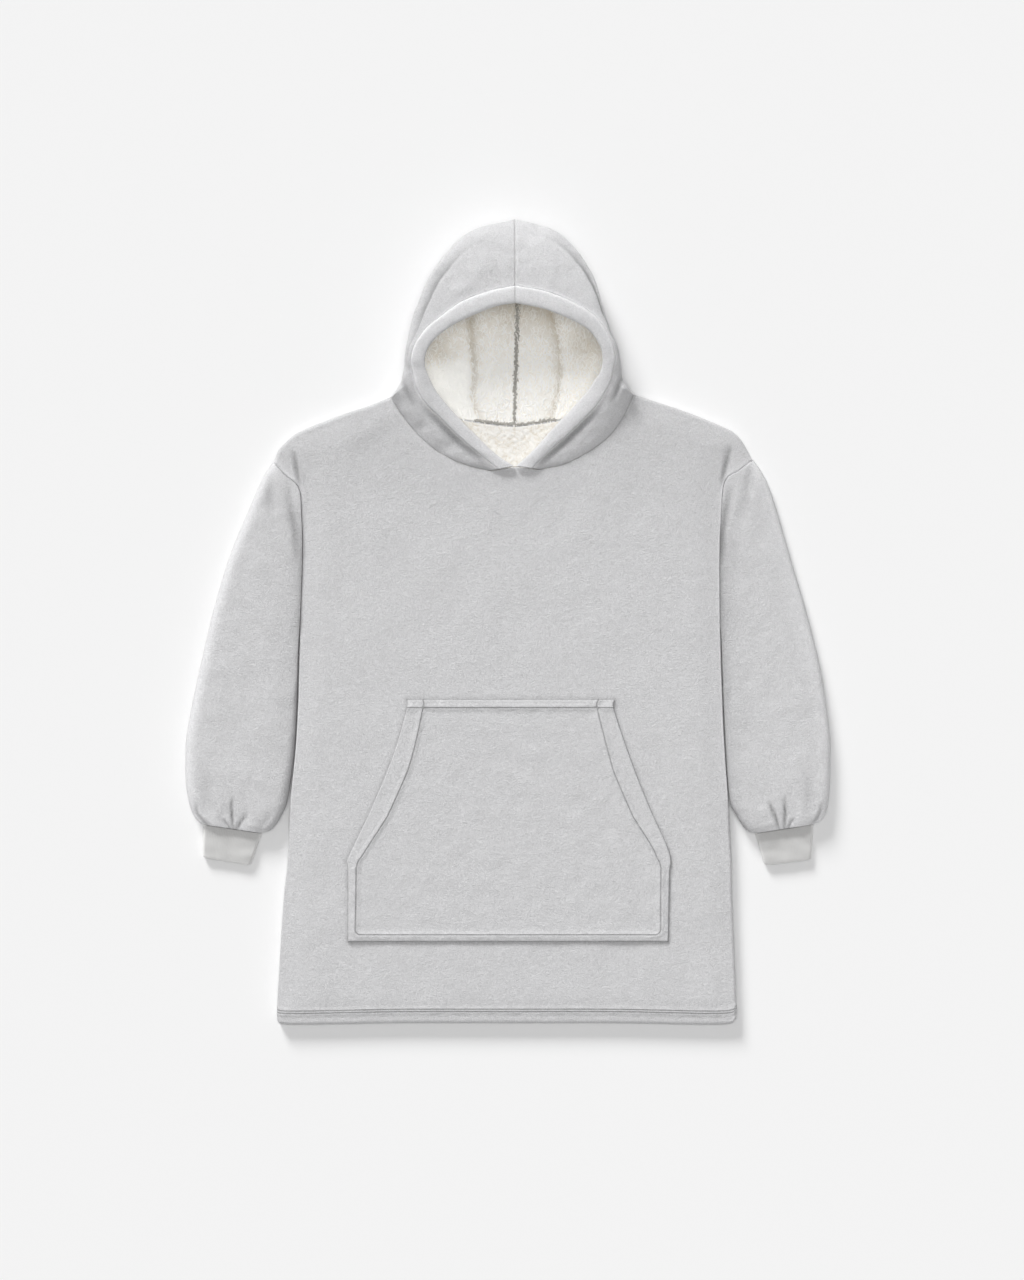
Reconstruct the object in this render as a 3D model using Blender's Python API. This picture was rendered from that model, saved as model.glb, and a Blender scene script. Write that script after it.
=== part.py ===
"""A wearable blanket hoodie, laid flat on its back with its front up.

Plush flannel outside and sherpa inside. +Y runs from the hem to the hood, +Z is up from the surface
that it lies on. Lengths in the tables are millimetres; the meshes are metres.
"""

import math

import bpy
import numpy as np

MM = 0.001

# Driving dimensions, in millimetres
SEAM_GAP = 0.3
EDGE_GAP = 0.5
SLEEVE_GAP = 1.0
EDGE_FADE = 3
BACK_WALL = 9.0
FRONT_WALL = 8.5
INNER_LOFT = 3.2
LOFT_REACH = 40.0
FRONT_BED = BACK_WALL + SEAM_GAP
FRONT_TOP = FRONT_BED + INNER_LOFT + FRONT_WALL
FLANNEL = 3.0
SHERPA = 5.5
LINING_PATCH = 2.2
SIDE_ROLL = 8.0
SIDE_ROLL_DEPTH = 5.5
BACK_ROLL_DEPTH = 4.5
ARMHOLE_SIDE_SHARE = 0.25
ARMHOLE_SIDE_END = 205.0
ARMHOLE_SIDE_REACH = 60.0
POCKET_WALL = 2.5
POCKET_HEM_RISE = 1.3
POCKET_HEM_STEP = 4.0
POCKET_EDGE_ROLL = 2.5
POCKET_EDGE_DEPTH = 1.5
CUFF_HEIGHT = 11.5
CUFF_WALL = 4.0
CUFF_ROLLS = (6.0, 6.0)
UNDER_ROLL_SHARE = 0.7
RIM_HALF_HEIGHT = 6.0
RIM_HALF_SHARE = 0.48
RIM_CORNERS = 10
RIM_BED = 4.2
RIM_SEAT = 0.3
CREST = 1.5
HOOD_CENTRE = 10.0
CURVE_STEPS = 40
SHARP_ANGLE = 40.0

GREY = (0.60, 0.60, 0.61)
RIB_GREY = (0.54, 0.54, 0.53)
CREAM = (0.84, 0.83, 0.80)

# Side edges of the body from the shoulder tip down to the hem
BODY_SIDE_LEFT = [
    dict(x=-332, y=226), dict(x=-315, y=208), dict(x=-296, y=190), dict(x=-292, y=146),
    dict(x=-291, y=89), dict(x=-295, y=-25), dict(x=-297, y=-110), dict(x=-301, y=-181),
    dict(x=-308, y=-252), dict(x=-312, y=-337), dict(x=-318, y=-394), dict(x=-327, y=-543),
    dict(x=-325, y=-564),
]
BODY_SIDE_RIGHT = [
    dict(x=346, y=230), dict(x=327, y=215), dict(x=307, y=199), dict(x=302, y=147),
    dict(x=300, y=86), dict(x=301, y=-23), dict(x=304, y=-119), dict(x=307, y=-181),
    dict(x=312, y=-252), dict(x=317, y=-337), dict(x=318, y=-394), dict(x=324, y=-543),
    dict(x=323, y=-562),
]
HEM = [
    dict(x=-325, y=-564), dict(x=-307, y=-570), dict(x=-150, y=-568), dict(x=0, y=-568),
    dict(x=150, y=-568), dict(x=300, y=-570), dict(x=323, y=-562),
]
SHOULDER_LEFT = [
    dict(x=-332, y=226), dict(x=-325, y=244), dict(x=-311, y=259), dict(x=-291, y=272),
    dict(x=-233, y=295), dict(x=-197, y=307), dict(x=-165, y=320),
]
SHOULDER_RIGHT = [
    dict(x=346, y=230), dict(x=334, y=253), dict(x=320, y=269), dict(x=300, y=279),
    dict(x=266, y=293), dict(x=230, y=306), dict(x=178, y=323),
]
# Distances along a side edge from the shoulder tip. The sleeve is sewn on down to the last one.
ARMHOLE_STEPS = (0, 3, 9, 17, 26, 42, 50, 60, 85, 120, 160, 200, 226, 244, 254, 260)
BODY_STEPS = (0, 3, 9, 26, 42, 50, 60, 85, 120, 200, 260)
BODY_SHARES = (0.2, 0.4, 0.6, 0.8)
HEM_STEPS = (12, 4, 0)
SHOULDER_STEPS = (0, 3, 9, 30, 80, 137, 195)
FAR_FROM_SHOULDER = 1000.0
BACK_NECK_COLUMNS = 7
LINING_PATCH_START = 0.35
LINING_PATCH_COLUMNS = 6
LINING_PATCH_ROWS = 5
LINING_PATCH_END = 190.0
LINING_PATCH_GAP = 2.0

# Free edges of the sleeves, from the shoulder tip or the underarm down to the cuff
SLEEVE_OUTER_LEFT = [
    dict(x=-333, y=227), dict(x=-348, y=204), dict(x=-365, y=165), dict(x=-393, y=97),
    dict(x=-416, y=22), dict(x=-437, y=-67), dict(x=-454, y=-151), dict(x=-457, y=-194),
    dict(x=-456, y=-232), dict(x=-450, y=-262), dict(x=-442, y=-279), dict(x=-432, y=-286),
]
SLEEVE_INNER_LEFT = [
    dict(x=-296, y=-25), dict(x=-298, y=-110), dict(x=-302, y=-181), dict(x=-311, y=-248),
    dict(x=-320, y=-273), dict(x=-334, y=-293), dict(x=-349, y=-299),
]
SLEEVE_OUTER_RIGHT = [
    dict(x=347, y=231), dict(x=362, y=209), dict(x=376, y=175), dict(x=402, y=86),
    dict(x=423, y=15), dict(x=444, y=-72), dict(x=456, y=-157), dict(x=457, y=-194),
    dict(x=456, y=-232), dict(x=452, y=-265), dict(x=444, y=-280), dict(x=433, y=-286),
]
SLEEVE_INNER_RIGHT = [
    dict(x=302, y=-23), dict(x=305, y=-119), dict(x=308, y=-181), dict(x=313, y=-249),
    dict(x=324, y=-275), dict(x=338, y=-295), dict(x=351, y=-299),
]
# Height of the flattened sleeve at fractions of its length
SLEEVE_HEIGHT = [
    dict(along=0.0, height=20.8), dict(along=0.35, height=21.5), dict(along=0.7, height=24.0),
    dict(along=0.88, height=27.0), dict(along=0.95, height=22.0), dict(along=1.0, height=14.0),
]
SLEEVE_SHARES = (0, 0.12, 0.25, 0.4, 0.55, 0.7, 0.8, 0.87, 0.92, 0.96, 0.985, 1)
SLEEVE_HOLLOW = 3.4
SLEEVE_ROLLS = (16.0, 26.0)
GATHERS = 4
GATHER_DEPTH = 3.2
GATHERS_START = 0.84
GATHERS_FULL = 0.98
CUFF_LEFT = dict(outer_top=(-432, -286), inner_top=(-349, -299),
                 outer_end=(-433, -333), inner_end=(-365, -344))
CUFF_RIGHT = dict(outer_top=(433, -286), inner_top=(351, -299),
                  outer_end=(430, -336), inner_end=(364, -344))
CUFF_ROWS = 4
CUFF_SHARES = (0, 0.03, 0.08, 0.2, 0.4, 0.6, 0.8, 0.92, 0.97, 1)

# Kangaroo pocket: its two sides from the bottom up
POCKET_LEFT = [
    dict(x=-227, y=-452), dict(x=-227, y=-353), dict(x=-229, y=-339), dict(x=-222, y=-322),
    dict(x=-193, y=-261), dict(x=-163, y=-188), dict(x=-144, y=-123), dict(x=-143, y=-109),
]
POCKET_RIGHT = [
    dict(x=227, y=-452), dict(x=229, y=-357), dict(x=231, y=-339), dict(x=225, y=-315),
    dict(x=203, y=-267), dict(x=178, y=-205), dict(x=151, y=-126), dict(x=151, y=-109),
]
POCKET_SLANT_HEM = 21.0
POCKET_EDGE_HEM = 11.0
# Shares of the pocket's height and width, close together at its edges and hems
POCKET_UP = (0, 0.01, 0.031, 0.04, 0.16, 0.28, 0.33, 0.45, 0.6, 0.75, 0.88, 0.955, 0.967, 0.99, 1)
POCKET_ACROSS = (0, 0.008, 0.036, 0.05, 0.15, 0.3, 0.5, 0.7, 0.85, 0.95, 0.964, 0.992, 1)

# Sections of the hood from the front of the neck, round the face, to the crown. The first two
# points are the edges of the rim. The bound is the neck seam up to NECK_ROW, then the outline.
NECK_ROW = 6
HOOD_LEFT = [
    dict(inner=(9, 221), outer=(-13, 217), bound=(-27, 215)),
    dict(inner=(-18, 239), outer=(-38, 237), bound=(-64, 225)),
    dict(inner=(-43, 263), outer=(-68, 262), bound=(-97, 241)),
    dict(inner=(-68, 288), outer=(-93, 287), bound=(-126, 265)),
    dict(inner=(-92, 315), outer=(-117, 311), bound=(-149, 293)),
    dict(inner=(-104, 332), outer=(-129, 331), bound=(-160, 310)),
    dict(inner=(-110, 344), outer=(-133, 347), bound=(-165, 320)),
    dict(inner=(-115, 356), outer=(-136, 359), bound=(-152, 340)),
    dict(inner=(-117, 367), outer=(-137, 371), bound=(-147, 361)),
    dict(inner=(-114, 383), outer=(-132, 391), bound=(-144, 387)),
    dict(inner=(-101, 401), outer=(-116, 414), bound=(-138, 417)),
    dict(inner=(-78, 418), outer=(-95, 431), bound=(-129, 446)),
    dict(inner=(-51, 431), outer=(-65, 452), bound=(-106, 497)),
    dict(inner=(-18, 444), outer=(-28, 466), bound=(-57, 550)),
    dict(inner=(10, 449), outer=(10, 474), bound=(10, 570)),
]
HOOD_RIGHT = [
    dict(inner=(11, 221), outer=(33, 218), bound=(47, 217)),
    dict(inner=(36, 244), outer=(55, 240), bound=(80, 225)),
    dict(inner=(62, 273), outer=(80, 262), bound=(114, 242)),
    dict(inner=(89, 301), outer=(104, 285), bound=(142, 263)),
    dict(inner=(111, 326), outer=(126, 308), bound=(162, 289)),
    dict(inner=(122, 342), outer=(140, 331), bound=(173, 312)),
    dict(inner=(128, 350), outer=(146, 344), bound=(178, 323)),
    dict(inner=(132, 360), outer=(149, 360), bound=(163, 343)),
    dict(inner=(133, 373), outer=(151, 374), bound=(160, 365)),
    dict(inner=(130, 388), outer=(146, 395), bound=(155, 391)),
    dict(inner=(117, 408), outer=(135, 416), bound=(143, 417)),
    dict(inner=(104, 418), outer=(120, 434), bound=(134, 447)),
    dict(inner=(84, 428), outer=(92, 451), bound=(116, 498)),
    dict(inner=(50, 441), outer=(54, 466), bound=(72, 550)),
    dict(inner=(10, 449), outer=(10, 474), bound=(10, 570)),
]
# The fold that parts the hood's dome from its back: the share of each section at which it lies
HOOD_FOLD = [
    dict(row=8, left=0.45, right=0.6, depth=0), dict(row=9, left=0.45, right=0.65, depth=0),
    dict(row=10, left=0.48, right=0.72, depth=2), dict(row=11, left=0.62, right=0.76, depth=3.8),
    dict(row=12, left=0.72, right=0.8, depth=4.5), dict(row=13, left=0.78, right=0.84, depth=1),
    dict(row=14, left=0.78, right=0.84, depth=0),
]
FOLD_LIP = 0.25
# The same sections' heights, and how each one closes under the hood
HOOD_RISE = [
    dict(rim=26, bound=21), dict(rim=27, bound=21), dict(rim=30, bound=21), dict(rim=34, bound=21),
    dict(rim=39, bound=21), dict(rim=44, bound=21), dict(rim=47, bound=10.5),
    dict(rim=50, bound=17), dict(rim=54, bound=25), dict(rim=58, bound=31),
    dict(rim=62, bound=35), dict(rim=65, bound=37), dict(rim=68, bound=37),
    dict(rim=70, bound=36), dict(rim=71, bound=35),
]
HOOD_UNDER = [
    dict(centre_y=279, roll=10.5, sag=8), dict(centre_y=305, roll=18, sag=5),
    dict(centre_y=327, roll=28, sag=2), dict(centre_y=350, roll=38, sag=0),
    dict(centre_y=376, roll=45, sag=0), dict(centre_y=404, roll=48, sag=0),
    dict(centre_y=441, roll=48, sag=0), dict(centre_y=479, roll=46, sag=0),
    dict(centre_y=512, roll=42, sag=0),
]
NECK_STATIONS = 9
CROWN_STATIONS = 13
DOME_SHARES = (0, 0.3, 0.6, 0.87, 1)
BACK_SHARES = (0.3, 0.65, 1)
OVER_COUNT = len(DOME_SHARES) + len(BACK_SHARES)
LIP_COLUMN = len(DOME_SHARES) - 1
TROUGH_COLUMN = LIP_COLUMN + 1
LINING_COLUMNS = (2, 3, TROUGH_COLUMN)
UNDER_ANGLES = (22, 45, 68, 90)
UNDER_FLAT = (0.33, 0.67, 1.0)
NECK_SLOPE_ANGLE = 60.0


def remove_startup_objects():
    for item in list(bpy.data.objects):
        bpy.data.objects.remove(item, do_unlink=True)


def fabric(name, colour, roughness):
    material = bpy.data.materials.new(name)
    material.use_nodes = True
    shader = material.node_tree.nodes["Principled BSDF"]
    shader.inputs["Base Color"].default_value = (*colour, 1.0)
    shader.inputs["Roughness"].default_value = roughness
    shader.inputs["Metallic"].default_value = 0.0
    return material


def columns(table, *names):
    """The named columns of a table as one array, with points spread over two columns."""
    return np.array([np.concatenate([np.atleast_1d(row[name]) for name in names]) for row in table], float)


def through(values, at):
    """Values read between rows: a cubic through every row, with the slope of its neighbours."""
    slopes = np.gradient(values, axis=0)
    low = np.clip(np.floor(at).astype(int), 0, len(values) - 2)
    f = (at - low)[:, None]
    a, b = values[low], values[low + 1]
    da, db = slopes[low], slopes[low + 1]
    return (
        (2 * f**3 - 3 * f**2 + 1) * a + (f**3 - 2 * f**2 + f) * da
        + (3 * f**2 - 2 * f**3) * b + (f**3 - f**2) * db
    )


def run_lengths(points):
    """Distance travelled along a curve at each of its points."""
    return np.concatenate([[0], np.cumsum(np.linalg.norm(np.diff(points, axis=0), axis=1))])


def outline(table):
    """A table's outline as a fine curve."""
    return through(columns(table, "x", "y"), np.linspace(0, len(table) - 1, CURVE_STEPS * len(table)))


def at_distances(table, distances):
    """Points on a table's outline at distances from its first row."""
    fine = outline(table)
    travelled = run_lengths(fine)
    return np.stack([np.interp(distances, travelled, fine[:, k]) for k in (0, 1)], axis=1)


def at_shares(table, shares):
    """Points on a table's outline at shares of its length."""
    return at_distances(table, np.asarray(shares) * run_lengths(outline(table))[-1])


def moved_sideways(points, distance):
    """A curve moved to its left by a distance, along its normals."""
    run = np.gradient(points, axis=0)
    run /= np.linalg.norm(run, axis=1)[:, None]
    return points + distance * np.stack([-run[:, 1], run[:, 0]], axis=1)


def patch(left, right, bottom, top, across):
    """Points spread between four edges that meet: rows from bottom to top, columns left to right.

    Across gives each column's share of the width, for all rows alike or row by row. The bends of
    the left and right edges fade towards the middle with the cube of the distance.
    """
    travelled = run_lengths(left)
    rows = (travelled / travelled[-1])[:, None, None]
    u = np.broadcast_to(across, (len(left), len(bottom)))[:, :, None]
    near_left, near_right = (1 - u) ** EDGE_FADE, u ** EDGE_FADE
    straight_left = left[0] * (1 - rows) + left[-1] * rows
    straight_right = right[0] * (1 - rows) + right[-1] * rows
    bends = (left[:, None] - straight_left) * near_left + (right[:, None] - straight_right) * near_right
    return bottom[None] * (1 - rows) + top[None] * rows + bends


def smooth_step(value):
    value = np.clip(value, 0, 1)
    return value * value * (3 - 2 * value)


def arc(distance, radius):
    """Height of a quarter round over its edge, as a share of its full height."""
    near = 1 - np.clip(distance / radius, 0, 1)
    return np.sqrt(1 - near * near)


def grid_faces(index, wrap=False):
    """Quads over an index grid. A cell with an index of -1 has no face."""
    if wrap:
        index = np.concatenate([index, index[:, :1]], axis=1)
    a, b = index[:-1, :-1].ravel(), index[:-1, 1:].ravel()
    c, d = index[1:, 1:].ravel(), index[1:, :-1].ravel()
    quads = np.stack([a, b, c, d], axis=1)
    return [tuple(quad) for quad in quads.tolist() if min(quad) >= 0]


def border(faces):
    """Edges that only one face has, in that face's direction."""
    seen = {}
    for face in faces:
        for a, b in zip(face, face[1:] + face[:1]):
            key = (min(a, b), max(a, b))
            seen.setdefault(key, []).append((a, b))
    return [runs[0] for runs in seen.values() if len(runs) == 1]


def vertex_normals(points, faces):
    quads = np.array(faces)
    diagonal_a = points[quads[:, 2]] - points[quads[:, 0]]
    diagonal_b = points[quads[:, 3]] - points[quads[:, 1]]
    areas = np.cross(diagonal_a, diagonal_b)
    normals = np.zeros_like(points)
    for corner in range(4):
        np.add.at(normals, quads[:, corner], areas)
    return normals / np.linalg.norm(normals, axis=1)[:, None]


def add_object(name, points, faces, material):
    """One closed mesh in metres, shaded smooth but for its sharp edges."""
    mesh = bpy.data.meshes.new(name)
    mesh.from_pydata((np.asarray(points) * MM).tolist(), [], faces)
    corners = [np.asarray(points)[list(face)] for face in faces]
    volume = sum(np.dot(c[0], np.cross(c[k], c[k + 1])) for c in corners for k in range(1, len(c) - 1))
    if volume < 0:
        mesh.flip_normals()
    mesh.shade_smooth()
    mesh.set_sharp_from_angle(angle=math.radians(SHARP_ANGLE))
    mesh.materials.append(material)
    item = bpy.data.objects.new(name, mesh)
    bpy.context.scene.collection.objects.link(item)
    return item


def add_wall(name, outer, inner, faces, material):
    """A wall between two faces of cloth with the same grid, closed along its border.

    Both faces split their quads along the same diagonal, so neighbouring layers stay parallel.
    """
    count = len(outer)
    halves = [(a, b, c) for a, b, c, d in faces] + [(a, c, d) for a, b, c, d in faces]
    shell = halves + [tuple(corner + count for corner in reversed(half)) for half in halves]
    shell += [(b, a, a + count, b + count) for a, b in border(faces)]
    return add_object(name, np.concatenate([outer, inner]), shell, material)


def hood_stations():
    """Row numbers at which the hood is cut: up to the neck point, then on to the crown."""
    neck = np.linspace(0, NECK_ROW, NECK_STATIONS)
    crown = np.linspace(NECK_ROW, len(HOOD_RISE) - 1, CROWN_STATIONS)
    return neck, crown[1:]


def hood_rows(table):
    """Rim edges, bound and heights at every station. The bound has a corner at the neck point."""
    neck, crown = hood_stations()
    every = np.concatenate([neck, crown])
    rim = through(columns(table, "inner", "outer"), every)
    bound = columns(table, "bound")
    rise = columns(HOOD_RISE, "rim", "bound")
    low = through(bound[: NECK_ROW + 1], neck)
    high = through(bound[NECK_ROW:], crown - NECK_ROW)
    low_z = np.where(neck < NECK_ROW, FRONT_TOP, rise[NECK_ROW, 1])
    high_z = through(rise[NECK_ROW:], crown - NECK_ROW)[:, 1]
    return dict(
        station=every,
        inner=rim[:, :2],
        outer=rim[:, 2:],
        rim_z=through(rise, every)[:, 0],
        bound=np.concatenate([low, high]),
        bound_z=np.concatenate([low_z, high_z]),
    )


def neck_seam(table, distance):
    """The front neck seam on one side, moved away from the hood, from the middle to the neck point."""
    rows = hood_rows(table)
    points = rows["bound"][:NECK_STATIONS]
    return moved_sideways(points, distance if table is HOOD_LEFT else -distance)


def under_path(table, station, fraction):
    """Plan of one section under the hood, from its bound to the centre line."""
    rows = hood_rows(table)
    bound = rows["bound"][station]
    under = through(columns(HOOD_UNDER, "centre_y", "roll", "sag"), rows["station"][[station]] - NECK_ROW)[0]
    centre = np.array([HOOD_CENTRE, under[0]])
    points = bound + (centre - bound) * np.asarray(fraction)[:, None]
    points[:, 1] -= under[2] * np.sin(np.pi * np.asarray(fraction))
    return points, under[1], np.linalg.norm(centre - bound)


def over_section(table, rows, station):
    """A quarter ellipse from the rim's outer edge to the bound, less than a quarter by the neck seam.

    The dome ends in a low lip at the fold. Behind it the cloth drops into the fold's trough.
    """
    side = "left" if table is HOOD_LEFT else "right"
    fold_rows = columns(HOOD_FOLD, "row", side, "depth")
    fold, depth = (np.interp(rows["station"][station], fold_rows[:, 0], fold_rows[:, k]) for k in (1, 2))
    shares = np.concatenate([fold * np.array(DOME_SHARES), fold + (1 - fold) * np.array(BACK_SHARES)])
    start, bound = rows["outer"][station], rows["bound"][station]
    crest = rows["rim_z"][station] + CREST
    low = rows["bound_z"][station]
    blend = smooth_step((rows["station"][station] - NECK_ROW + 2) / 2)
    widest = math.radians(NECK_SLOPE_ANGLE + (90 - NECK_SLOPE_ANGLE) * blend)
    turn = np.arcsin(shares * math.sin(widest))
    rise = (np.cos(turn) - math.cos(widest)) / (1 - math.cos(widest))
    height = low + (crest - low) * rise
    height[LIP_COLUMN] += FOLD_LIP * depth
    height[TROUGH_COLUMN] -= depth
    plan = start + (bound - start) * shares[:, None]
    return np.column_stack([plan, height])


def under_section(table, rows, station):
    """A quarter round from the bound down to the floor, then flat to the centre line."""
    low = rows["bound_z"][station]
    _, roll, length = under_path(table, station, [0.0])
    bend = np.radians(UNDER_ANGLES)
    round_part = roll * (1 - np.cos(bend))
    flat_part = roll + (length - roll) * np.array(UNDER_FLAT)
    plan, _, _ = under_path(table, station, np.concatenate([round_part, flat_part]) / length)
    height = np.concatenate([low * (1 - np.sin(bend)), np.zeros(len(UNDER_FLAT))])
    return np.column_stack([plan, height])


def hood_sheet(table):
    """The hood's outer face on one side: points, outward normals and their index by section."""
    rows = hood_rows(table)
    side = -1 if table is HOOD_LEFT else 1
    index = np.full((len(rows["station"]), OVER_COUNT + len(UNDER_ANGLES) + len(UNDER_FLAT)), -1)
    sections = []
    placed = 0
    for station in range(len(rows["station"])):
        section = over_section(table, rows, station)
        if station >= NECK_STATIONS - 1:
            section = np.vstack([section, under_section(table, rows, station)])
        index[station, : len(section)] = np.arange(len(section)) + placed
        placed += len(section)
        sections.append(section)
    points = np.concatenate(sections)
    centre_seam = np.concatenate([index[NECK_STATIONS:, -1], index[-1]])
    points[centre_seam, 0] = HOOD_CENTRE + side * SEAM_GAP / 2
    normals = vertex_normals(points, grid_faces(index))
    if np.sum(normals * (points - points.mean(axis=0))) < 0:
        normals = -normals
    normals[centre_seam, 0] = 0
    normals[index[0, :OVER_COUNT], 1] = 0
    normals[index[NECK_STATIONS - 1, OVER_COUNT - 1:], 1] = 0
    normals /= np.linalg.norm(normals, axis=1)[:, None]
    normals[index[:, 0]] = (0, 0, 1)
    normals[index[: NECK_STATIONS - 1, OVER_COUNT - 1]] = (0, 0, 1)
    return points, normals, index


def hood_panel(name, table, material):
    points, normals, index = hood_sheet(table)
    add_wall(name, points, points - FLANNEL * normals, grid_faces(index), material)


def hood_lining(name, table, material):
    """The lining runs inside the hood from under the rim, and passes under the fold's lip."""
    points, normals, index = hood_sheet(table)
    rows = hood_rows(table)
    bed = rows["rim_z"] - RIM_BED
    seat = rows["inner"] + RIM_SEAT * (rows["outer"] - rows["inner"])
    seat_index = index[:, 0]
    points[seat_index, :2] = seat
    points[seat_index[-1], 0] = points[index[-1, 1], 0]
    points[seat_index, 2] = bed
    first_kept = index[:, LINING_COLUMNS[0]]
    points[first_kept, 2] = np.minimum(points[first_kept, 2], bed)
    kept = np.column_stack([seat_index, index[:, LINING_COLUMNS], index[:, TROUGH_COLUMN + 1:]])
    used = np.unique(kept[kept >= 0])
    order = np.full(len(points) + 1, -1)
    order[used] = np.arange(len(used))
    near = FLANNEL + SEAM_GAP
    outer = (points - near * normals)[used]
    inner = (points - (near + SHERPA) * normals)[used]
    add_wall(name, outer, inner, grid_faces(order[kept]), material)


def hood_rim(name, table, material):
    """A padded casing: a flat oval carried round the face opening on one side."""
    rows = hood_rows(table)
    side = -1 if table is HOOD_LEFT else 1
    turn = np.linspace(0, 2 * np.pi, RIM_CORNERS, endpoint=False)
    share = (0.5 - RIM_HALF_SHARE * np.cos(turn))[None, :, None]
    plan = rows["inner"][:, None] + (rows["outer"] - rows["inner"])[:, None] * share
    height = rows["rim_z"][:, None] + RIM_HALF_HEIGHT * np.sin(turn)[None]
    points = np.concatenate([plan, height[:, :, None]], axis=2)
    points[-1, :, 0] = HOOD_CENTRE + side * SEAM_GAP / 2
    index = np.arange(points.shape[0] * RIM_CORNERS).reshape(-1, RIM_CORNERS)
    faces = grid_faces(index, wrap=True)
    faces += [tuple(reversed(index[0].tolist())), tuple(index[-1].tolist())]
    add_object(name, points.reshape(-1, 3), faces, material)


def side_points(table):
    """A side edge of the body from the hem up to the shoulder tip, with the armhole's own steps."""
    length = run_lengths(outline(table))[-1]
    underarm = BODY_STEPS[-1]
    below = underarm + (length - underarm) * np.array(BODY_SHARES)
    distances = np.concatenate([BODY_STEPS, below, length - np.array(HEM_STEPS)])
    return at_distances(table, distances[::-1])


def body_plan(neck_left, neck_right):
    """Plan of a body panel, its distance to each edge, and which columns end on a shoulder."""
    steps = np.array(SHOULDER_STEPS) / SHOULDER_STEPS[-1]
    left_shoulder = at_shares(SHOULDER_LEFT, steps)[:-1]
    right_shoulder = at_shares(SHOULDER_RIGHT, steps)[:-1][::-1]
    top = np.concatenate([left_shoulder, neck_left[::-1], neck_right, right_shoulder])
    across = (top[:, 0] - top[0, 0]) / (top[-1, 0] - top[0, 0])
    bottom = at_shares(HEM, across)
    plan = patch(side_points(BODY_SIDE_LEFT), side_points(BODY_SIDE_RIGHT), bottom, top, across)
    widths = np.linalg.norm(plan[:, -1] - plan[:, 0], axis=1)[:, None]
    side = np.minimum(across[None], 1 - across[None]) * widths
    up = np.linalg.norm(np.diff(plan, axis=0), axis=2)
    from_hem = np.concatenate([np.zeros((1, plan.shape[1])), np.cumsum(up, axis=0)])
    from_top = from_hem[-1:] - from_hem
    shoulder = np.ones(len(across), bool)
    shoulder[len(left_shoulder): -len(right_shoulder)] = False
    return plan, side, from_hem, from_top, shoulder[None]


def side_share(y):
    """How far the side edge rolls down: little along the armhole, fully below it."""
    full = smooth_step((ARMHOLE_SIDE_END - y) / ARMHOLE_SIDE_REACH)
    return ARMHOLE_SIDE_SHARE + (1 - ARMHOLE_SIDE_SHARE) * full


def body_front(material):
    plan, side, hem, top, shoulder = body_plan(
        neck_seam(HOOD_LEFT, EDGE_GAP), neck_seam(HOOD_RIGHT, EDGE_GAP)
    )
    shoulder_edge = np.where(shoulder, top, FAR_FROM_SHOULDER)
    nearest = np.minimum(np.minimum(side, hem), shoulder_edge)
    bed = FRONT_BED + INNER_LOFT * smooth_step(nearest / LOFT_REACH)
    drop = (1 - arc(side, SIDE_ROLL)) * side_share(plan[:, :, 1])
    drop = np.maximum(drop, 1 - arc(hem, SIDE_ROLL))
    drop = np.maximum(drop, 1 - arc(shoulder_edge, SIDE_ROLL))
    crown = bed + FRONT_WALL - SIDE_ROLL_DEPTH * drop
    build_panel("body_front", plan, crown, bed, material)


def back_neck(table, count):
    """The back neck seam on one side, from the centre to the neck point, clear of the hood."""
    points, _, _ = under_path(table, NECK_STATIONS - 1, np.linspace(1, 0, count))
    points[:, 1] -= EDGE_GAP
    return points


def body_back(material):
    left = back_neck(HOOD_LEFT, BACK_NECK_COLUMNS)
    right = back_neck(HOOD_RIGHT, BACK_NECK_COLUMNS)[1:]
    plan, side, hem, top, shoulder = body_plan(left, right)
    shoulder_edge = np.where(shoulder, top, FAR_FROM_SHOULDER)
    nearest = np.minimum(np.minimum(side, hem), shoulder_edge)
    floor = BACK_ROLL_DEPTH * (1 - arc(nearest, SIDE_ROLL))
    build_panel("body_back", plan, np.full(floor.shape, BACK_WALL), floor, material)


def build_panel(name, plan, upper, lower, material):
    """A panel of cloth between its upper and lower heights over a plan."""
    index = np.arange(upper.size).reshape(upper.shape)
    outer = np.column_stack([plan.reshape(-1, 2), upper.ravel()])
    inner = np.column_stack([plan.reshape(-1, 2), lower.ravel()])
    add_wall(name, outer, inner, grid_faces(index), material)


def lining_patch(material):
    """The back's sherpa as it shows in the neck, from the back neck seam to below the front one."""
    shares = np.linspace(LINING_PATCH_START, 1, LINING_PATCH_COLUMNS)
    left = under_path(HOOD_LEFT, NECK_STATIONS - 1, shares)[0]
    right = under_path(HOOD_RIGHT, NECK_STATIONS - 1, shares[::-1])[0][1:]
    top = np.concatenate([left, right]) - [0, LINING_PATCH_GAP]
    bottom = np.column_stack([top[:, 0], np.full(len(top), LINING_PATCH_END)])
    rows = np.linspace(0, 1, LINING_PATCH_ROWS)[:, None, None]
    plan = bottom[None] * (1 - rows) + top[None] * rows
    bed = np.full(plan.shape[:2], BACK_WALL + SEAM_GAP)
    build_panel("lining_back", plan, bed + LINING_PATCH, bed, material)


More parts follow.
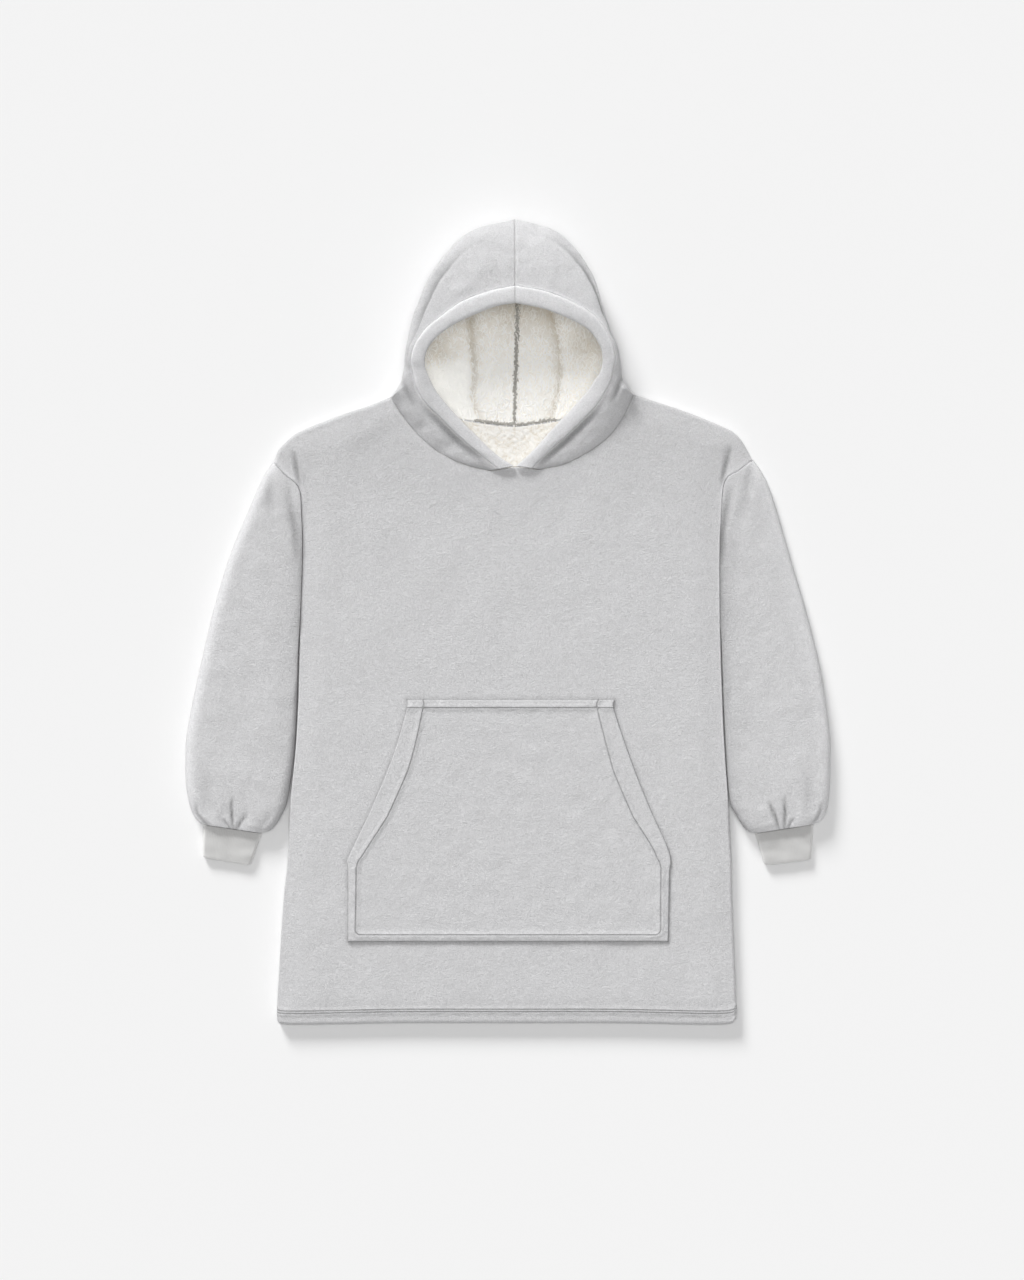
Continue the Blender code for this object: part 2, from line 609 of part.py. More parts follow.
def flat_tube(name, plan, heights, walls, rolls, dips, material):
    """A flattened tube of cloth over a plan whose columns run from its outer to its inner fold.

    Each section has an upper and a lower layer that close in a round fold at both sides, and a thin
    hollow between them. Both ends are open.
    """
    rows, count = plan.shape[:2]
    step = np.linalg.norm(np.diff(plan, axis=1), axis=2)
    from_outer = np.concatenate([np.zeros((rows, 1)), np.cumsum(step, axis=1)], axis=1)
    width = from_outer[:, -1:]
    share = from_outer / width
    middle = (heights / 2)[:, None]
    outer_roll, inner_roll = rolls
    under_roll = outer_roll * UNDER_ROLL_SHARE

    def faces_at(inset, thinner):
        spread = inset / width + share * (1 - 2 * inset / width)
        x = np.array([np.interp(spread[r], share[r], plan[r, :, 0]) for r in range(rows)])
        y = np.array([np.interp(spread[r], share[r], plan[r, :, 1]) for r in range(rows)])
        upper_arc = arc(from_outer, outer_roll) * arc(width - from_outer, inner_roll)
        lower_arc = arc(from_outer, under_roll) * arc(width - from_outer, under_roll)
        upper = middle + (middle - thinner) * upper_arc
        lower = middle - (middle - thinner) * lower_arc
        return x, y, upper, lower

    def ring(x, y, upper, lower):
        over = np.stack([x, y, upper], axis=2)
        under = np.stack([x, y, lower], axis=2)[:, 1:-1][:, ::-1]
        return np.concatenate([over, under], axis=1)

    x, y, upper, lower = faces_at(0.0, 0.0)
    outer = ring(x, y, upper - dips, lower)
    inner = ring(*faces_at(walls[:, None], walls[:, None]))
    index = np.arange(outer.shape[0] * outer.shape[1]).reshape(outer.shape[:2])
    faces = grid_faces(index, wrap=True)
    add_wall(name, outer.reshape(-1, 3), inner.reshape(-1, 3), faces, material)


def sleeve(name, outer_table, inner_table, side_table, away, material):
    along = np.array(SLEEVE_SHARES)
    across_top = np.array(ARMHOLE_STEPS) / ARMHOLE_STEPS[-1]
    across_cuff = np.linspace(0, 1, len(across_top))
    across = across_top * (1 - along[:, None]) + across_cuff * along[:, None]
    armhole = moved_sideways(at_distances(side_table, ARMHOLE_STEPS), away * SLEEVE_GAP)
    outer = at_shares(outer_table, along)
    inner = moved_sideways(at_shares(inner_table, along), away * EDGE_GAP)
    outer[0], inner[0] = armhole[0], armhole[-1]
    cuff_line = outer[-1] + (inner[-1] - outer[-1]) * across_cuff[:, None]
    plan = patch(outer, inner, armhole, cuff_line, across)
    heights = np.interp(along, columns(SLEEVE_HEIGHT, "along")[:, 0], columns(SLEEVE_HEIGHT, "height")[:, 0])
    walls = heights / 2 - SLEEVE_HOLLOW / 2
    near_cuff = smooth_step((along - GATHERS_START) / (GATHERS_FULL - GATHERS_START))[:, None]
    waves = 0.5 - 0.5 * np.cos(2 * np.pi * GATHERS * across)
    dips = GATHER_DEPTH * near_cuff * waves
    flat_tube(name, plan, heights, walls, SLEEVE_ROLLS, dips, material)


def cuff(name, corners, material):
    """A rib cuff: a flat tube that narrows towards its open end."""
    along = np.linspace(0, 1, CUFF_ROWS)[:, None]
    outer = np.array(corners["outer_top"]) * (1 - along) + np.array(corners["outer_end"]) * along
    inner = np.array(corners["inner_top"]) * (1 - along) + np.array(corners["inner_end"]) * along
    across = np.array(CUFF_SHARES)
    plan = outer[:, None] * (1 - across[None, :, None]) + inner[:, None] * across[None, :, None]
    plan[:, :, 1] -= EDGE_GAP
    heights = np.full(len(along), CUFF_HEIGHT)
    walls = np.full(len(along), CUFF_WALL)
    flat_tube(name, plan, heights, walls, CUFF_ROLLS, np.zeros(plan.shape[:2]), material)


def pocket(material):
    """The pocket lies on the front: its points are the front's own height, moved out."""
    left, right = at_shares(POCKET_LEFT, POCKET_UP), at_shares(POCKET_RIGHT, POCKET_UP)
    across = np.array(POCKET_ACROSS)
    bottom = left[0] + (right[0] - left[0]) * across[:, None]
    top = left[-1] + (right[-1] - left[-1]) * across[:, None]
    plan = patch(left, right, bottom, top, across)
    widths = np.linalg.norm(plan[:, -1] - plan[:, 0], axis=1)[:, None]
    from_side = np.minimum(across, 1 - across)[None] * widths
    from_ends = np.minimum(plan[:, :, 1] - plan[:1, :, 1], plan[-1:, :, 1] - plan[:, :, 1])
    side_hem = np.where(plan[:, :, 1] > POCKET_LEFT[2]["y"], POCKET_SLANT_HEM, POCKET_EDGE_HEM)
    hem = np.maximum(smooth_step((side_hem - from_side) / POCKET_HEM_STEP + 0.5),
                     smooth_step((POCKET_EDGE_HEM - from_ends) / POCKET_HEM_STEP + 0.5))
    edge = 1 - arc(np.minimum(from_side, from_ends), POCKET_EDGE_ROLL)
    bed = np.full(plan.shape[:2], FRONT_TOP + SEAM_GAP)
    crown = bed + POCKET_WALL + POCKET_HEM_RISE * hem - POCKET_EDGE_DEPTH * edge
    build_panel("pocket", plan, crown, bed, material)


def centre_on_origin():
    """Moves every mesh so that the origin lies under the middle of the outline, on the surface."""
    items = [item for item in bpy.data.objects if item.type == "MESH"]
    corners = np.array([vertex.co[:] for item in items for vertex in item.data.vertices])
    low, high = corners.min(axis=0), corners.max(axis=0)
    shift = -np.array([(low[0] + high[0]) / 2, (low[1] + high[1]) / 2, low[2]])
    for item in items:
        for vertex in item.data.vertices:
            vertex.co = [value + step for value, step in zip(vertex.co, shift)]


remove_startup_objects()
flannel = fabric("grey_flannel", GREY, 0.95)
rib = fabric("grey_rib", RIB_GREY, 0.9)
sherpa = fabric("cream_sherpa", CREAM, 1.0)

body_back(flannel)
body_front(flannel)
lining_patch(sherpa)
pocket(flannel)
sleeve("sleeve_left", SLEEVE_OUTER_LEFT, SLEEVE_INNER_LEFT, BODY_SIDE_LEFT, -1, flannel)
sleeve("sleeve_right", SLEEVE_OUTER_RIGHT, SLEEVE_INNER_RIGHT, BODY_SIDE_RIGHT, 1, flannel)
cuff("cuff_left", CUFF_LEFT, rib)
cuff("cuff_right", CUFF_RIGHT, rib)
for side_name, hood_table in (("left", HOOD_LEFT), ("right", HOOD_RIGHT)):
    hood_panel(f"hood_{side_name}", hood_table, flannel)
    hood_lining(f"hood_lining_{side_name}", hood_table, sherpa)
    hood_rim(f"hood_rim_{side_name}", hood_table, flannel)
centre_on_origin()
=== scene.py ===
"""A wearable blanket hoodie in plush flannel with a sherpa lining, laid flat and seen from above.

Tables and sizes are millimetres, +Y runs from the hem to the hood and +Z is up; the meshes are metres.
"""

import math

import bpy
import numpy as np
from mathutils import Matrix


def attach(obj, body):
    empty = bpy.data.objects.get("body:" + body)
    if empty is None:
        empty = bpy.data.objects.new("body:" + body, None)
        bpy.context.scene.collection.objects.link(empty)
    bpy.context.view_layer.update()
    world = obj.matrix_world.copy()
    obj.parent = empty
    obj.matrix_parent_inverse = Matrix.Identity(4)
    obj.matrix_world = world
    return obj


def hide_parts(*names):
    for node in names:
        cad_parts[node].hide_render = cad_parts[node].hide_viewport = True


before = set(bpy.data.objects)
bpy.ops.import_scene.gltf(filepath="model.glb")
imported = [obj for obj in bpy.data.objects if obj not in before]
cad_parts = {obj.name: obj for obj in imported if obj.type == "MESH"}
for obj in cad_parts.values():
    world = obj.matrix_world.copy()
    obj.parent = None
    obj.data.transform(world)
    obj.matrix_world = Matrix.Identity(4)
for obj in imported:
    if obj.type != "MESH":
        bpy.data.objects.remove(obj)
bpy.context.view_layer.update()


# Back panel. One piece of plush flannel backed with sherpa, cut from the shoulders to the hem.
# The garment lies on it. The front is sewn to its sides and shoulders, and the hood to its neck.
MM = 0.001
SEAM_GAP = 0.3
EDGE_GAP = 0.5
BACK_WALL = 9.0
SIDE_ROLL = 5.5
SIDE_ROLL_DEPTH = 4.2
BACK_STEP = 8.0
BACK_NECK_POINTS = 24
SHOULDER_LENGTH = 205.0
SHOULDER_EDGE = 30.0
SHOULDER_EDGE_STEP = 2.5
SIDE_LENGTH = 830.0
FAR_OFF = 1000.0
FINE_POINTS = 60
STITCH_ZERO = 100.0
STITCH_BEFORE = -30.0
STITCH_AFTER = 90.0
FLANNEL_GREY = (0.692, 0.690, 0.699, 1)


def named_rows(names, *rows):
    """A short table: a record for each row, under the names of its columns."""
    return [dict(zip(names.split(), row)) for row in rows]


BODY_SIDE_LEFT = named_rows(
    "x y",
    (-332, 226), (-315, 208), (-296, 190), (-292, 146), (-291, 89), (-295, -25), (-297, -110),
    (-301, -181), (-308, -252), (-312, -337), (-318, -394), (-327, -543), (-325, -564),
)
BODY_SIDE_RIGHT = named_rows(
    "x y",
    (346, 230), (327, 215), (307, 199), (302, 147), (300, 86), (301, -23), (304, -119), (307, -181),
    (312, -252), (317, -337), (318, -394), (324, -543), (323, -562),
)
HEM = named_rows(
    "x y",
    (-325, -564), (-307, -570), (-150, -568), (0, -568), (150, -568), (300, -570), (323, -562),
)
SHOULDER_LEFT = named_rows(
    "x y",
    (-332, 226), (-325, 244), (-311, 259), (-291, 272), (-233, 295), (-197, 307), (-165, 320),
)
SHOULDER_RIGHT = named_rows(
    "x y",
    (346, 230), (334, 253), (320, 269), (300, 279), (266, 293), (230, 306), (178, 323),
)
BACK_NECK_LEFT = dict(neck=(-165, 320), centre=(10, 279), sag=8)
BACK_NECK_RIGHT = dict(neck=(178, 323), centre=(10, 279), sag=8)


def columns(table, *names):
    """The named columns of a table as one array, with points spread over two columns."""
    return np.array([np.hstack([row[name] for name in names]) for row in table], float)


def through(values, at):
    """Values read between rows: a cubic through every row, with the slope of its neighbours."""
    slopes = np.gradient(values, axis=0)
    low = np.clip(np.floor(at).astype(int), 0, len(values) - 2)
    f = (at - low)[:, None]
    a, b = values[low], values[low + 1]
    da, db = slopes[low], slopes[low + 1]
    return (
        (2 * f**3 - 3 * f**2 + 1) * a + (f**3 - 2 * f**2 + f) * da
        + (3 * f**2 - 2 * f**3) * b + (f**3 - f**2) * db
    )


def run_lengths(points):
    """Distance travelled along a curve at each of its points."""
    return np.concatenate([[0], np.cumsum(np.linalg.norm(np.diff(points, axis=0), axis=1))])


def fine_curve(points):
    """The smooth curve through a few points, as many points."""
    points = np.asarray(points, float)
    return through(points, np.linspace(0, len(points) - 1, FINE_POINTS * len(points)))


def curve(points, count):
    """A smooth curve through points, read at even shares of its length."""
    return at_shares(fine_curve(points), np.linspace(0, 1, count))


def at_shares(points, shares):
    """Places along a curve at shares of its length."""
    travelled = run_lengths(points)
    at = np.asarray(shares) * travelled[-1]
    return np.stack([np.interp(at, travelled, part) for part in points.T], axis=1)


def outline(table):
    """A table's outline as a fine curve."""
    return fine_curve(columns(table, "x", "y"))


def graded(length, step, edge=9.0, edge_step=1.6):
    """Shares of a length in even steps, closer together within an edge of both ends."""
    near = np.arange(0, edge, edge_step)
    middle = np.linspace(edge, length - edge, max(2, round((length - 2 * edge) / step)))
    return np.concatenate([near, middle, length - near[::-1]]) / length


def smooth_step(value):
    """A soft step from 0 to 1 as the value goes from 0 to 1."""
    value = np.clip(value, 0, 1)
    return value * value * (3 - 2 * value)


def bell(distance, width):
    """A bell curve: 1 in the middle and next to nothing two widths away."""
    return np.exp(-((distance / width) ** 2))


def arc(distance, radius):
    """Height of a quarter round over its edge, as a share of its full height."""
    near = 1 - np.clip(distance / radius, 0, 1)
    return np.sqrt(1 - near * near)


def patch(left, right, bottom, top, across):
    """Points spread between four edges: rows from bottom to top, columns from left to right.

    Straight lines join the bottom to the top. The bends of the left and right edges are added to
    them and fade towards the middle with the cube of the distance.
    """
    travelled = run_lengths(left)
    rows = (travelled / travelled[-1])[:, None, None]
    u = np.broadcast_to(across, (len(left), len(bottom)))[:, :, None]
    straight_left = left[0] * (1 - rows) + left[-1] * rows
    straight_right = right[0] * (1 - rows) + right[-1] * rows
    bends = (left[:, None] - straight_left) * (1 - u) ** 3 + (right[:, None] - straight_right) * u**3
    return bottom[None] * (1 - rows) + top[None] * rows + bends


def body_plan(neck_left, neck_right, step, middle_rise=0.0):
    """Plan of a body panel, with each point's distance to the sides, the hem and the shoulders."""
    shoulder_shares = graded(SHOULDER_LENGTH, step, SHOULDER_EDGE, SHOULDER_EDGE_STEP)
    shoulder_left = at_shares(outline(SHOULDER_LEFT), shoulder_shares)[:-1]
    shoulder_right = at_shares(outline(SHOULDER_RIGHT), shoulder_shares)[:-1][::-1]
    middle_count = 2 + round(np.linalg.norm(neck_left[-1] - neck_right[-1]) / step)
    middle = np.linspace(neck_left[-1], neck_right[-1], middle_count)
    middle[:, 1] += middle_rise * np.sin(np.linspace(0, np.pi, middle_count)) ** 2
    top = np.concatenate([shoulder_left, neck_left[:-1], middle, neck_right[::-1][1:], shoulder_right])
    across = (top[:, 0] - top[0, 0]) / (top[-1, 0] - top[0, 0])
    bottom = at_shares(outline(HEM), across)
    shares = graded(SIDE_LENGTH, step)
    left = at_shares(outline(BODY_SIDE_LEFT)[::-1], shares)
    right = at_shares(outline(BODY_SIDE_RIGHT)[::-1], shares)
    plan = patch(left, right, bottom, top, across)
    widths = np.linalg.norm(plan[:, -1] - plan[:, 0], axis=1)[:, None]
    side = np.minimum(across[None], 1 - across[None]) * widths
    up = np.linalg.norm(np.diff(plan, axis=0), axis=2)
    from_hem = np.concatenate([np.zeros((1, plan.shape[1])), np.cumsum(up, axis=0)])
    from_top = from_hem[-1:] - from_hem
    shoulder = (top[:, 0] < neck_left[0, 0]) | (top[:, 0] > neck_right[0, 0])
    from_shoulder = np.where(shoulder[None], from_top, FAR_OFF)
    return plan, side, from_hem, from_shoulder, from_top


def quads_of(index, wrap=False):
    """Quads between neighbouring rows and columns of an index grid. Cells that touch a -1 are open."""
    if wrap:
        index = np.concatenate([index, index[:, :1]], axis=1)
    corners = (index[:-1, :-1], index[:-1, 1:], index[1:, 1:], index[1:, :-1])
    quads = np.stack(corners, axis=-1).reshape(-1, 4)
    return quads[(quads >= 0).all(axis=1)]


def free_edges(quads):
    """Edges that only one quad has, in that quad's direction."""
    edges = np.stack([quads, np.roll(quads, -1, axis=1)], axis=-1).reshape(-1, 2)
    low, high = edges.min(axis=1), edges.max(axis=1)
    _, first, counts = np.unique(low * (edges.max() + 1) + high, return_index=True, return_counts=True)
    return edges[first[counts == 1]]


def place_object(name, data):
    """A mesh, a lamp or a camera put into the scene as a new object."""
    placed = bpy.data.objects.new(name, data)
    bpy.context.scene.collection.objects.link(placed)
    return placed


def add_mesh(name, points, quads, material, caps=()):
    """A closed, smooth mesh from millimetre points, turned so that its faces point outwards."""
    a, b, c, d = (points[quads[:, corner]] for corner in range(4))
    volume = np.sum(a * (np.cross(b, c) + np.cross(c, d)))
    faces = quads.tolist() + [list(cap) for cap in caps]
    mesh = bpy.data.meshes.new(name)
    mesh.from_pydata((points * MM).tolist(), [], faces)
    if volume < 0:
        mesh.flip_normals()
    mesh.shade_smooth()
    mesh.materials.append(material)
    return place_object(name, mesh)


def add_wall(name, outer, inner, quads, material):
    """A wall between two faces of cloth with the same quads, closed along their free edges."""
    count = len(outer)
    edges = free_edges(quads)
    rim = np.column_stack([edges[:, ::-1], edges + count])
    faces = np.concatenate([quads, quads[:, ::-1] + count, rim])
    return add_mesh(name, np.concatenate([outer, inner]), faces, material)


def add_panel(name, plan, upper, lower, material):
    """A panel of cloth between its upper and lower heights over a plan."""
    quads = quads_of(np.arange(upper.size).reshape(upper.shape))
    outer = np.column_stack([plan.reshape(-1, 2), upper.ravel()])
    inner = np.column_stack([plan.reshape(-1, 2), lower.ravel()])
    return add_wall(name, outer, inner, quads, material)


def ripple(x, y, size, seed, waves=24):
    """Uneven heights of about -1 to 1: plane waves in seeded directions, each about a size long."""
    draw = np.random.default_rng(seed)
    total = np.zeros(np.shape(x))
    for turn, stretch, start in draw.uniform((0, 0.7, 0), (math.tau, 1.6, math.tau), (waves, 3)):
        total += np.sin((x * math.cos(turn) + y * math.sin(turn)) * math.tau / (size * stretch) + start)
    return total * math.sqrt(1 / waves)


def ripples(x, y, seed, table):
    """Ripples of the table's heights and sizes added up. Each one's seed is one more than the last."""
    return sum(row["height"] * ripple(x, y, row["size"], seed + turn) for turn, row in enumerate(table))


def crease(x, y, path, width, depth, ridge=0.4, shade=0.0):
    """A soft fold's height and shade: a bell-shaped trough along a path, a lower ridge on its left.

    Both fade out towards the ends of the path. A negative depth makes a ridge instead. The shade
    is painted shade along the bottom of the fold.
    """
    line = curve(path, 2 + round(run_lengths(np.asarray(path, float))[-1] / 2))
    height, dark = np.zeros(np.shape(x)), np.zeros(np.shape(x))
    reach = 4 * width
    near = (x > line[:, 0].min() - reach) & (x < line[:, 0].max() + reach)
    near &= (y > line[:, 1].min() - reach) & (y < line[:, 1].max() + reach)
    spots = np.column_stack([x[near], y[near]])
    if len(spots) == 0:
        return height, dark
    offset = spots[:, None] - line[None]
    squares = np.sum(offset * offset, axis=2)
    nearest = np.argmin(squares, axis=1)
    distance = np.sqrt(squares[np.arange(len(spots)), nearest])
    run = np.gradient(line, axis=0)[nearest]
    spot_offset = offset[np.arange(len(spots)), nearest]
    left = np.sign(run[:, 0] * spot_offset[:, 1] - run[:, 1] * spot_offset[:, 0])
    fade = np.sin(np.pi * np.clip(nearest / (len(line) - 1), 0.02, 0.98)) ** 0.6
    trough = -bell(distance, width)
    bank = ridge * bell(distance * left - 2 * width, 1.3 * width)
    height[near] = depth * fade * (trough + bank)
    dark[near] = -shade * fade * trough
    return height, dark


def creases(x, y, folds):
    """The heights and the shades of several folds, added up."""
    parts = [crease(x, y, **fold) for fold in folds]
    return sum(part[0] for part in parts), sum(part[1] for part in parts)


def nodes_of(name):
    """A new material's node tree, its links and its main shader."""
    material = bpy.data.materials.new(name)
    material.use_nodes = True
    tree = material.node_tree
    return material, tree.nodes, tree.links, tree.nodes["Principled BSDF"]


def set_node(node, **values):
    """A shader node's properties by name, and its inputs by a name that starts with a capital."""
    for key, value in values.items():
        if key[0].isupper():
            node.inputs[key.replace("_", " ")].default_value = value
        else:
            setattr(node, key, value)
    return node


def add_node(nodes, kind, **values):
    """A new shader node with its properties and inputs."""
    return set_node(nodes.new(kind), **values)


def add_noise(nodes, links, **values):
    """The strength of a noise that is laid out in the piece's own coordinates."""
    noise = add_node(nodes, "ShaderNodeTexNoise", **values)
    links.new(nodes.new("ShaderNodeTexCoord").outputs["Object"], noise.inputs["Vector"])
    return noise.outputs["Fac"]


def read_mark(nodes, name):
    """The value that a piece has for each point under a name."""
    return add_node(nodes, "ShaderNodeAttribute", attribute_name=name).outputs["Fac"]


def add_bump(nodes, links, shader, height, **values):
    """A shader's fine relief, from a height."""
    bump = add_node(nodes, "ShaderNodeBump", **values)
    links.new(height, bump.inputs["Height"])
    links.new(bump.outputs["Normal"], shader.inputs["Normal"])


def add_tint(nodes, links, shader, share, low, high, **values):
    """A shader's colour, carried by a share from one colour to another."""
    tint = add_node(nodes, "ShaderNodeMix", data_type="RGBA", **values)
    tint.inputs[6].default_value = low
    tint.inputs[7].default_value = high
    links.new(share, tint.inputs["Factor"])
    links.new(tint.outputs[2], shader.inputs["Base Color"])
    return tint.outputs[2]


def scaled(colour, factor):
    """A colour made darker or lighter by a factor."""
    return (*(part * factor for part in colour[:3]), 1)


def mark(piece, name, values):
    """A value for each point of a piece that its material reads. The points past the list get zero."""
    layer = piece.data.attributes.new(name, "FLOAT", "POINT")
    every = np.zeros(len(piece.data.vertices), np.float32)
    every[: len(values)] = values
    layer.data.foreach_set("value", every)


def mark_stitches(piece, distance):
    """The mark "stitch": how far each point lies from a row of stitches, over the mark's zero."""
    mark(piece, "stitch", STITCH_ZERO + np.clip(distance, STITCH_BEFORE, STITCH_AFTER).ravel())


def add_math(nodes, links, operation, *values):
    """A maths node fed with numbers and with other nodes' outputs."""
    node = add_node(nodes, "ShaderNodeMath", operation=operation)
    for slot, value in enumerate(values):
        if isinstance(value, (int, float)):
            node.inputs[slot].default_value = value
        else:
            links.new(value, node.inputs[slot])
    return node.outputs[0]


def add_range(nodes, links, value, low, high, to_low=0.0, to_high=1.0):
    """A value carried softly from one range to another."""
    node = add_node(nodes, "ShaderNodeMapRange", interpolation_type="SMOOTHSTEP",
                    From_Min=low, From_Max=high, To_Min=to_low, To_Max=to_high)
    links.new(value, node.inputs["Value"])
    return node.outputs[0]


def flannel_material(name, colour, stitch_pair=0.0):
    """Plush flannel: short napped fibres that lie in curled wisps, with soft patches of lighter nap.

    Height adds swirled noise for the wisps, broad noise for the patches and fine noise for the
    fibres. The mark "stitch" is 100 plus the distance to a row of stitches in millimetres: there
    the height falls into a groove, with puckers beside it. A pair of rows lies at both sides of it.
    Colour goes from the shade between wisps to their tips, with painted shade in the groove.
    The piece's painted-light mark adds painted shade above zero and painted highlights below it.
    """
    material, nodes, links, shader = nodes_of(name)
    wisps = add_noise(nodes, links, Scale=290.0, Detail=2.0, Roughness=0.6, Distortion=2.0)
    fibres = add_noise(nodes, links, Scale=1300.0, Detail=2.0, Roughness=0.7)
    patches = add_noise(nodes, links, Scale=80.0, Detail=3.0, Roughness=0.6, Distortion=0.2)
    puckers = add_noise(nodes, links, Scale=95.0, Detail=2.0, Roughness=0.5)
    past_line = add_math(nodes, links, "SUBTRACT", read_mark(nodes, "stitch"), STITCH_ZERO)
    off_line = add_math(nodes, links, "ABSOLUTE", past_line)
    past_stitch = add_math(nodes, links, "SUBTRACT", off_line, stitch_pair)
    off_stitch = add_math(nodes, links, "ABSOLUTE", past_stitch)
    groove = add_range(nodes, links, off_stitch, 0.3, 1.4, 1.0, 0.0)
    beside = add_range(nodes, links, off_line, 1.0, 9.0, 1.0, 0.0)
    nap = add_math(nodes, links, "MULTIPLY_ADD", fibres, 0.4, wisps)
    nap = add_math(nodes, links, "MULTIPLY_ADD", patches, 0.7, nap)
    pucker = add_math(nodes, links, "MULTIPLY", puckers, beside)
    height = add_math(nodes, links, "MULTIPLY_ADD", pucker, 2.0, nap)
    height = add_math(nodes, links, "MULTIPLY_ADD", groove, -0.8, height)
    add_bump(nodes, links, shader, height, Strength=1.0, Distance=0.0015)
    grain = add_math(nodes, links, "MULTIPLY_ADD", fibres, 0.5, wisps)
    tone = add_range(nodes, links, grain, 0.5, 1.0)
    # Painted shade in the stitch groove, then painted shade and painted highlights from the piece's
    # mark.
    tone = add_math(nodes, links, "MULTIPLY_ADD", groove, -1.6, tone)
    tone = add_math(nodes, links, "SUBTRACT", tone, read_mark(nodes, "painted_light"))
    between, tips = scaled(colour, 0.89), scaled(colour, 1.10)
    add_tint(nodes, links, shader, tone, between, tips, clamp_factor=False)
    set_node(shader, Roughness=0.92, Specular_IOR_Level=0.12, Sheen_Weight=0.28, Sheen_Roughness=0.55)
    return material


flannel = flannel_material("plush_flannel", FLANNEL_GREY)


def back_neck(seam, count):
    """The back neck seam on one side, from the neck point to the centre, with a shallow sag."""
    share = np.linspace(0, 1, count)[:, None]
    points = np.array(seam["neck"]) * (1 - share) + np.array(seam["centre"]) * share
    points[:, 1] -= seam["sag"] * np.sin(np.pi * share[:, 0]) + EDGE_GAP
    return points


def dress(piece, slot, *solids):
    """The piece hides the plain solids it stands for and moves with the garment; slot is not used."""
    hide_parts(*solids)
    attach(piece, "root")


neck_left = back_neck(BACK_NECK_LEFT, BACK_NECK_POINTS)
neck_right = back_neck(BACK_NECK_RIGHT, BACK_NECK_POINTS)
plan, side, from_hem, from_shoulder, _ = body_plan(neck_left, neck_right, BACK_STEP)
nearest = np.minimum(np.minimum(side, from_hem), from_shoulder)
back_floor = (SIDE_ROLL_DEPTH - 1) * (1 - arc(nearest, SIDE_ROLL))
body_back = add_panel("body_back_cloth", plan, np.full(side.shape, BACK_WALL), back_floor, flannel)
dress(body_back, "flannel", "body_back")


# Back lining. The sherpa face of the back panel, where it shows through the neck.
# Polyester pile knitted into a backing, brushed and tumbled until it curls.
LINING_PATCH = 2.2
LINING_PATCH_TOP = 0.35
LINING_PATCH_END = 190.0
LINING_PATCH_LENGTH = 85.0
LINING_PATCH_INSET = 2
LINING_PATCH_STEP = 1.6
LINING_PATCH_SHADE = 0.14
LINING_SEAM_POINTS = 120
LINING_PATCH_SWELL = 0.6
LINING_PATCH_CURLS = named_rows("height size", (0.5, 7), (0.3, 4))
SHERPA_CREAM = (0.93, 0.922, 0.895, 1)
SHERPA_SHADE_TINT = (0.70, 0.63, 0.52, 1)
PAINTED_PILE_GLOW = 0.12


def sherpa_material(name, tips, shade_tint, shaded, painted_glow):
    """Sherpa pile: swirled wisps a few millimetres across, warmer between them by the shaded share.

    The mark "depth" is painted shade: it takes the colour towards the shade tint in folds and in
    hollows under the rim and crown. The pile also glows by itself with painted light, less where
    its painted shade is strong.
    """
    material, nodes, links, shader = nodes_of(name)
    wisps = add_noise(nodes, links, Scale=130.0, Detail=3.0, Roughness=0.6, Distortion=1.4)
    fibres = add_noise(nodes, links, Scale=900.0, Detail=2.0, Roughness=0.7)
    pile = add_math(nodes, links, "MULTIPLY_ADD", fibres, 0.35, wisps)
    add_bump(nodes, links, shader, pile, Strength=1.0, Distance=0.0015)
    between = add_range(nodes, links, pile, 0.45, 0.75, shaded, 0.0)
    depth = read_mark(nodes, "depth")
    share = add_math(nodes, links, "ADD", between, depth)
    colour = add_tint(nodes, links, shader, share, tips, shade_tint)
    # Painted light: the pile glows by itself, less where its painted shade is strong.
    if painted_glow > 0:
        painted_glow_strength = add_math(nodes, links, "MULTIPLY_ADD", depth, -0.25, painted_glow)
        painted_glow_strength = add_math(nodes, links, "MAXIMUM", painted_glow_strength, 0.0)
        links.new(colour, shader.inputs["Emission Color"])
        links.new(painted_glow_strength, shader.inputs["Emission Strength"])
    set_node(shader, Roughness=0.95, Specular_IOR_Level=0.1, Sheen_Weight=0.2, Sheen_Roughness=0.5)
    return material


# sherpa glows with painted light; flat_sherpa, on the back neck, is a copy with more painted shade
# between its wisps that does not glow.
sherpa = sherpa_material("curly_sherpa", SHERPA_CREAM, SHERPA_SHADE_TINT, 0.25, PAINTED_PILE_GLOW)
flat_sherpa = sherpa_material("curly_sherpa_flat", SHERPA_CREAM, SHERPA_SHADE_TINT, 0.6, 0.0)


def back_lining_plan(step):
    """Rows from below the front neck seam up to the back one, straight between them."""
    left = back_neck(BACK_NECK_LEFT, LINING_SEAM_POINTS)
    right = back_neck(BACK_NECK_RIGHT, LINING_SEAM_POINTS)[::-1]
    start = round(LINING_SEAM_POINTS * LINING_PATCH_TOP)
    seam = np.concatenate([left[start:], right[1:LINING_SEAM_POINTS - start]]) - [0, LINING_PATCH_INSET]
    top = at_shares(seam, np.linspace(0, 1, round(run_lengths(seam)[-1] / step)))
    bottom = np.column_stack([top[:, 0], np.full(len(top), LINING_PATCH_END)])
    rows = np.linspace(0, 1, round(LINING_PATCH_LENGTH / step))[:, None, None]
    return bottom[None] * (1 - rows) + top[None] * rows


plan = back_lining_plan(LINING_PATCH_STEP)
bed = np.full(plan.shape[:2], BACK_WALL + SEAM_GAP)
curls = ripples(plan[..., 0], plan[..., 1], 11, LINING_PATCH_CURLS)
pile = bed + LINING_PATCH + LINING_PATCH_SWELL * curls
lining_back = add_panel("back_lining_cloth", plan, pile, bed, flat_sherpa)
# Painted shade over the whole patch in the back neck.
mark(lining_back, "depth", np.full(2 * bed.size, LINING_PATCH_SHADE))
dress(lining_back, "sherpa", "lining_back")


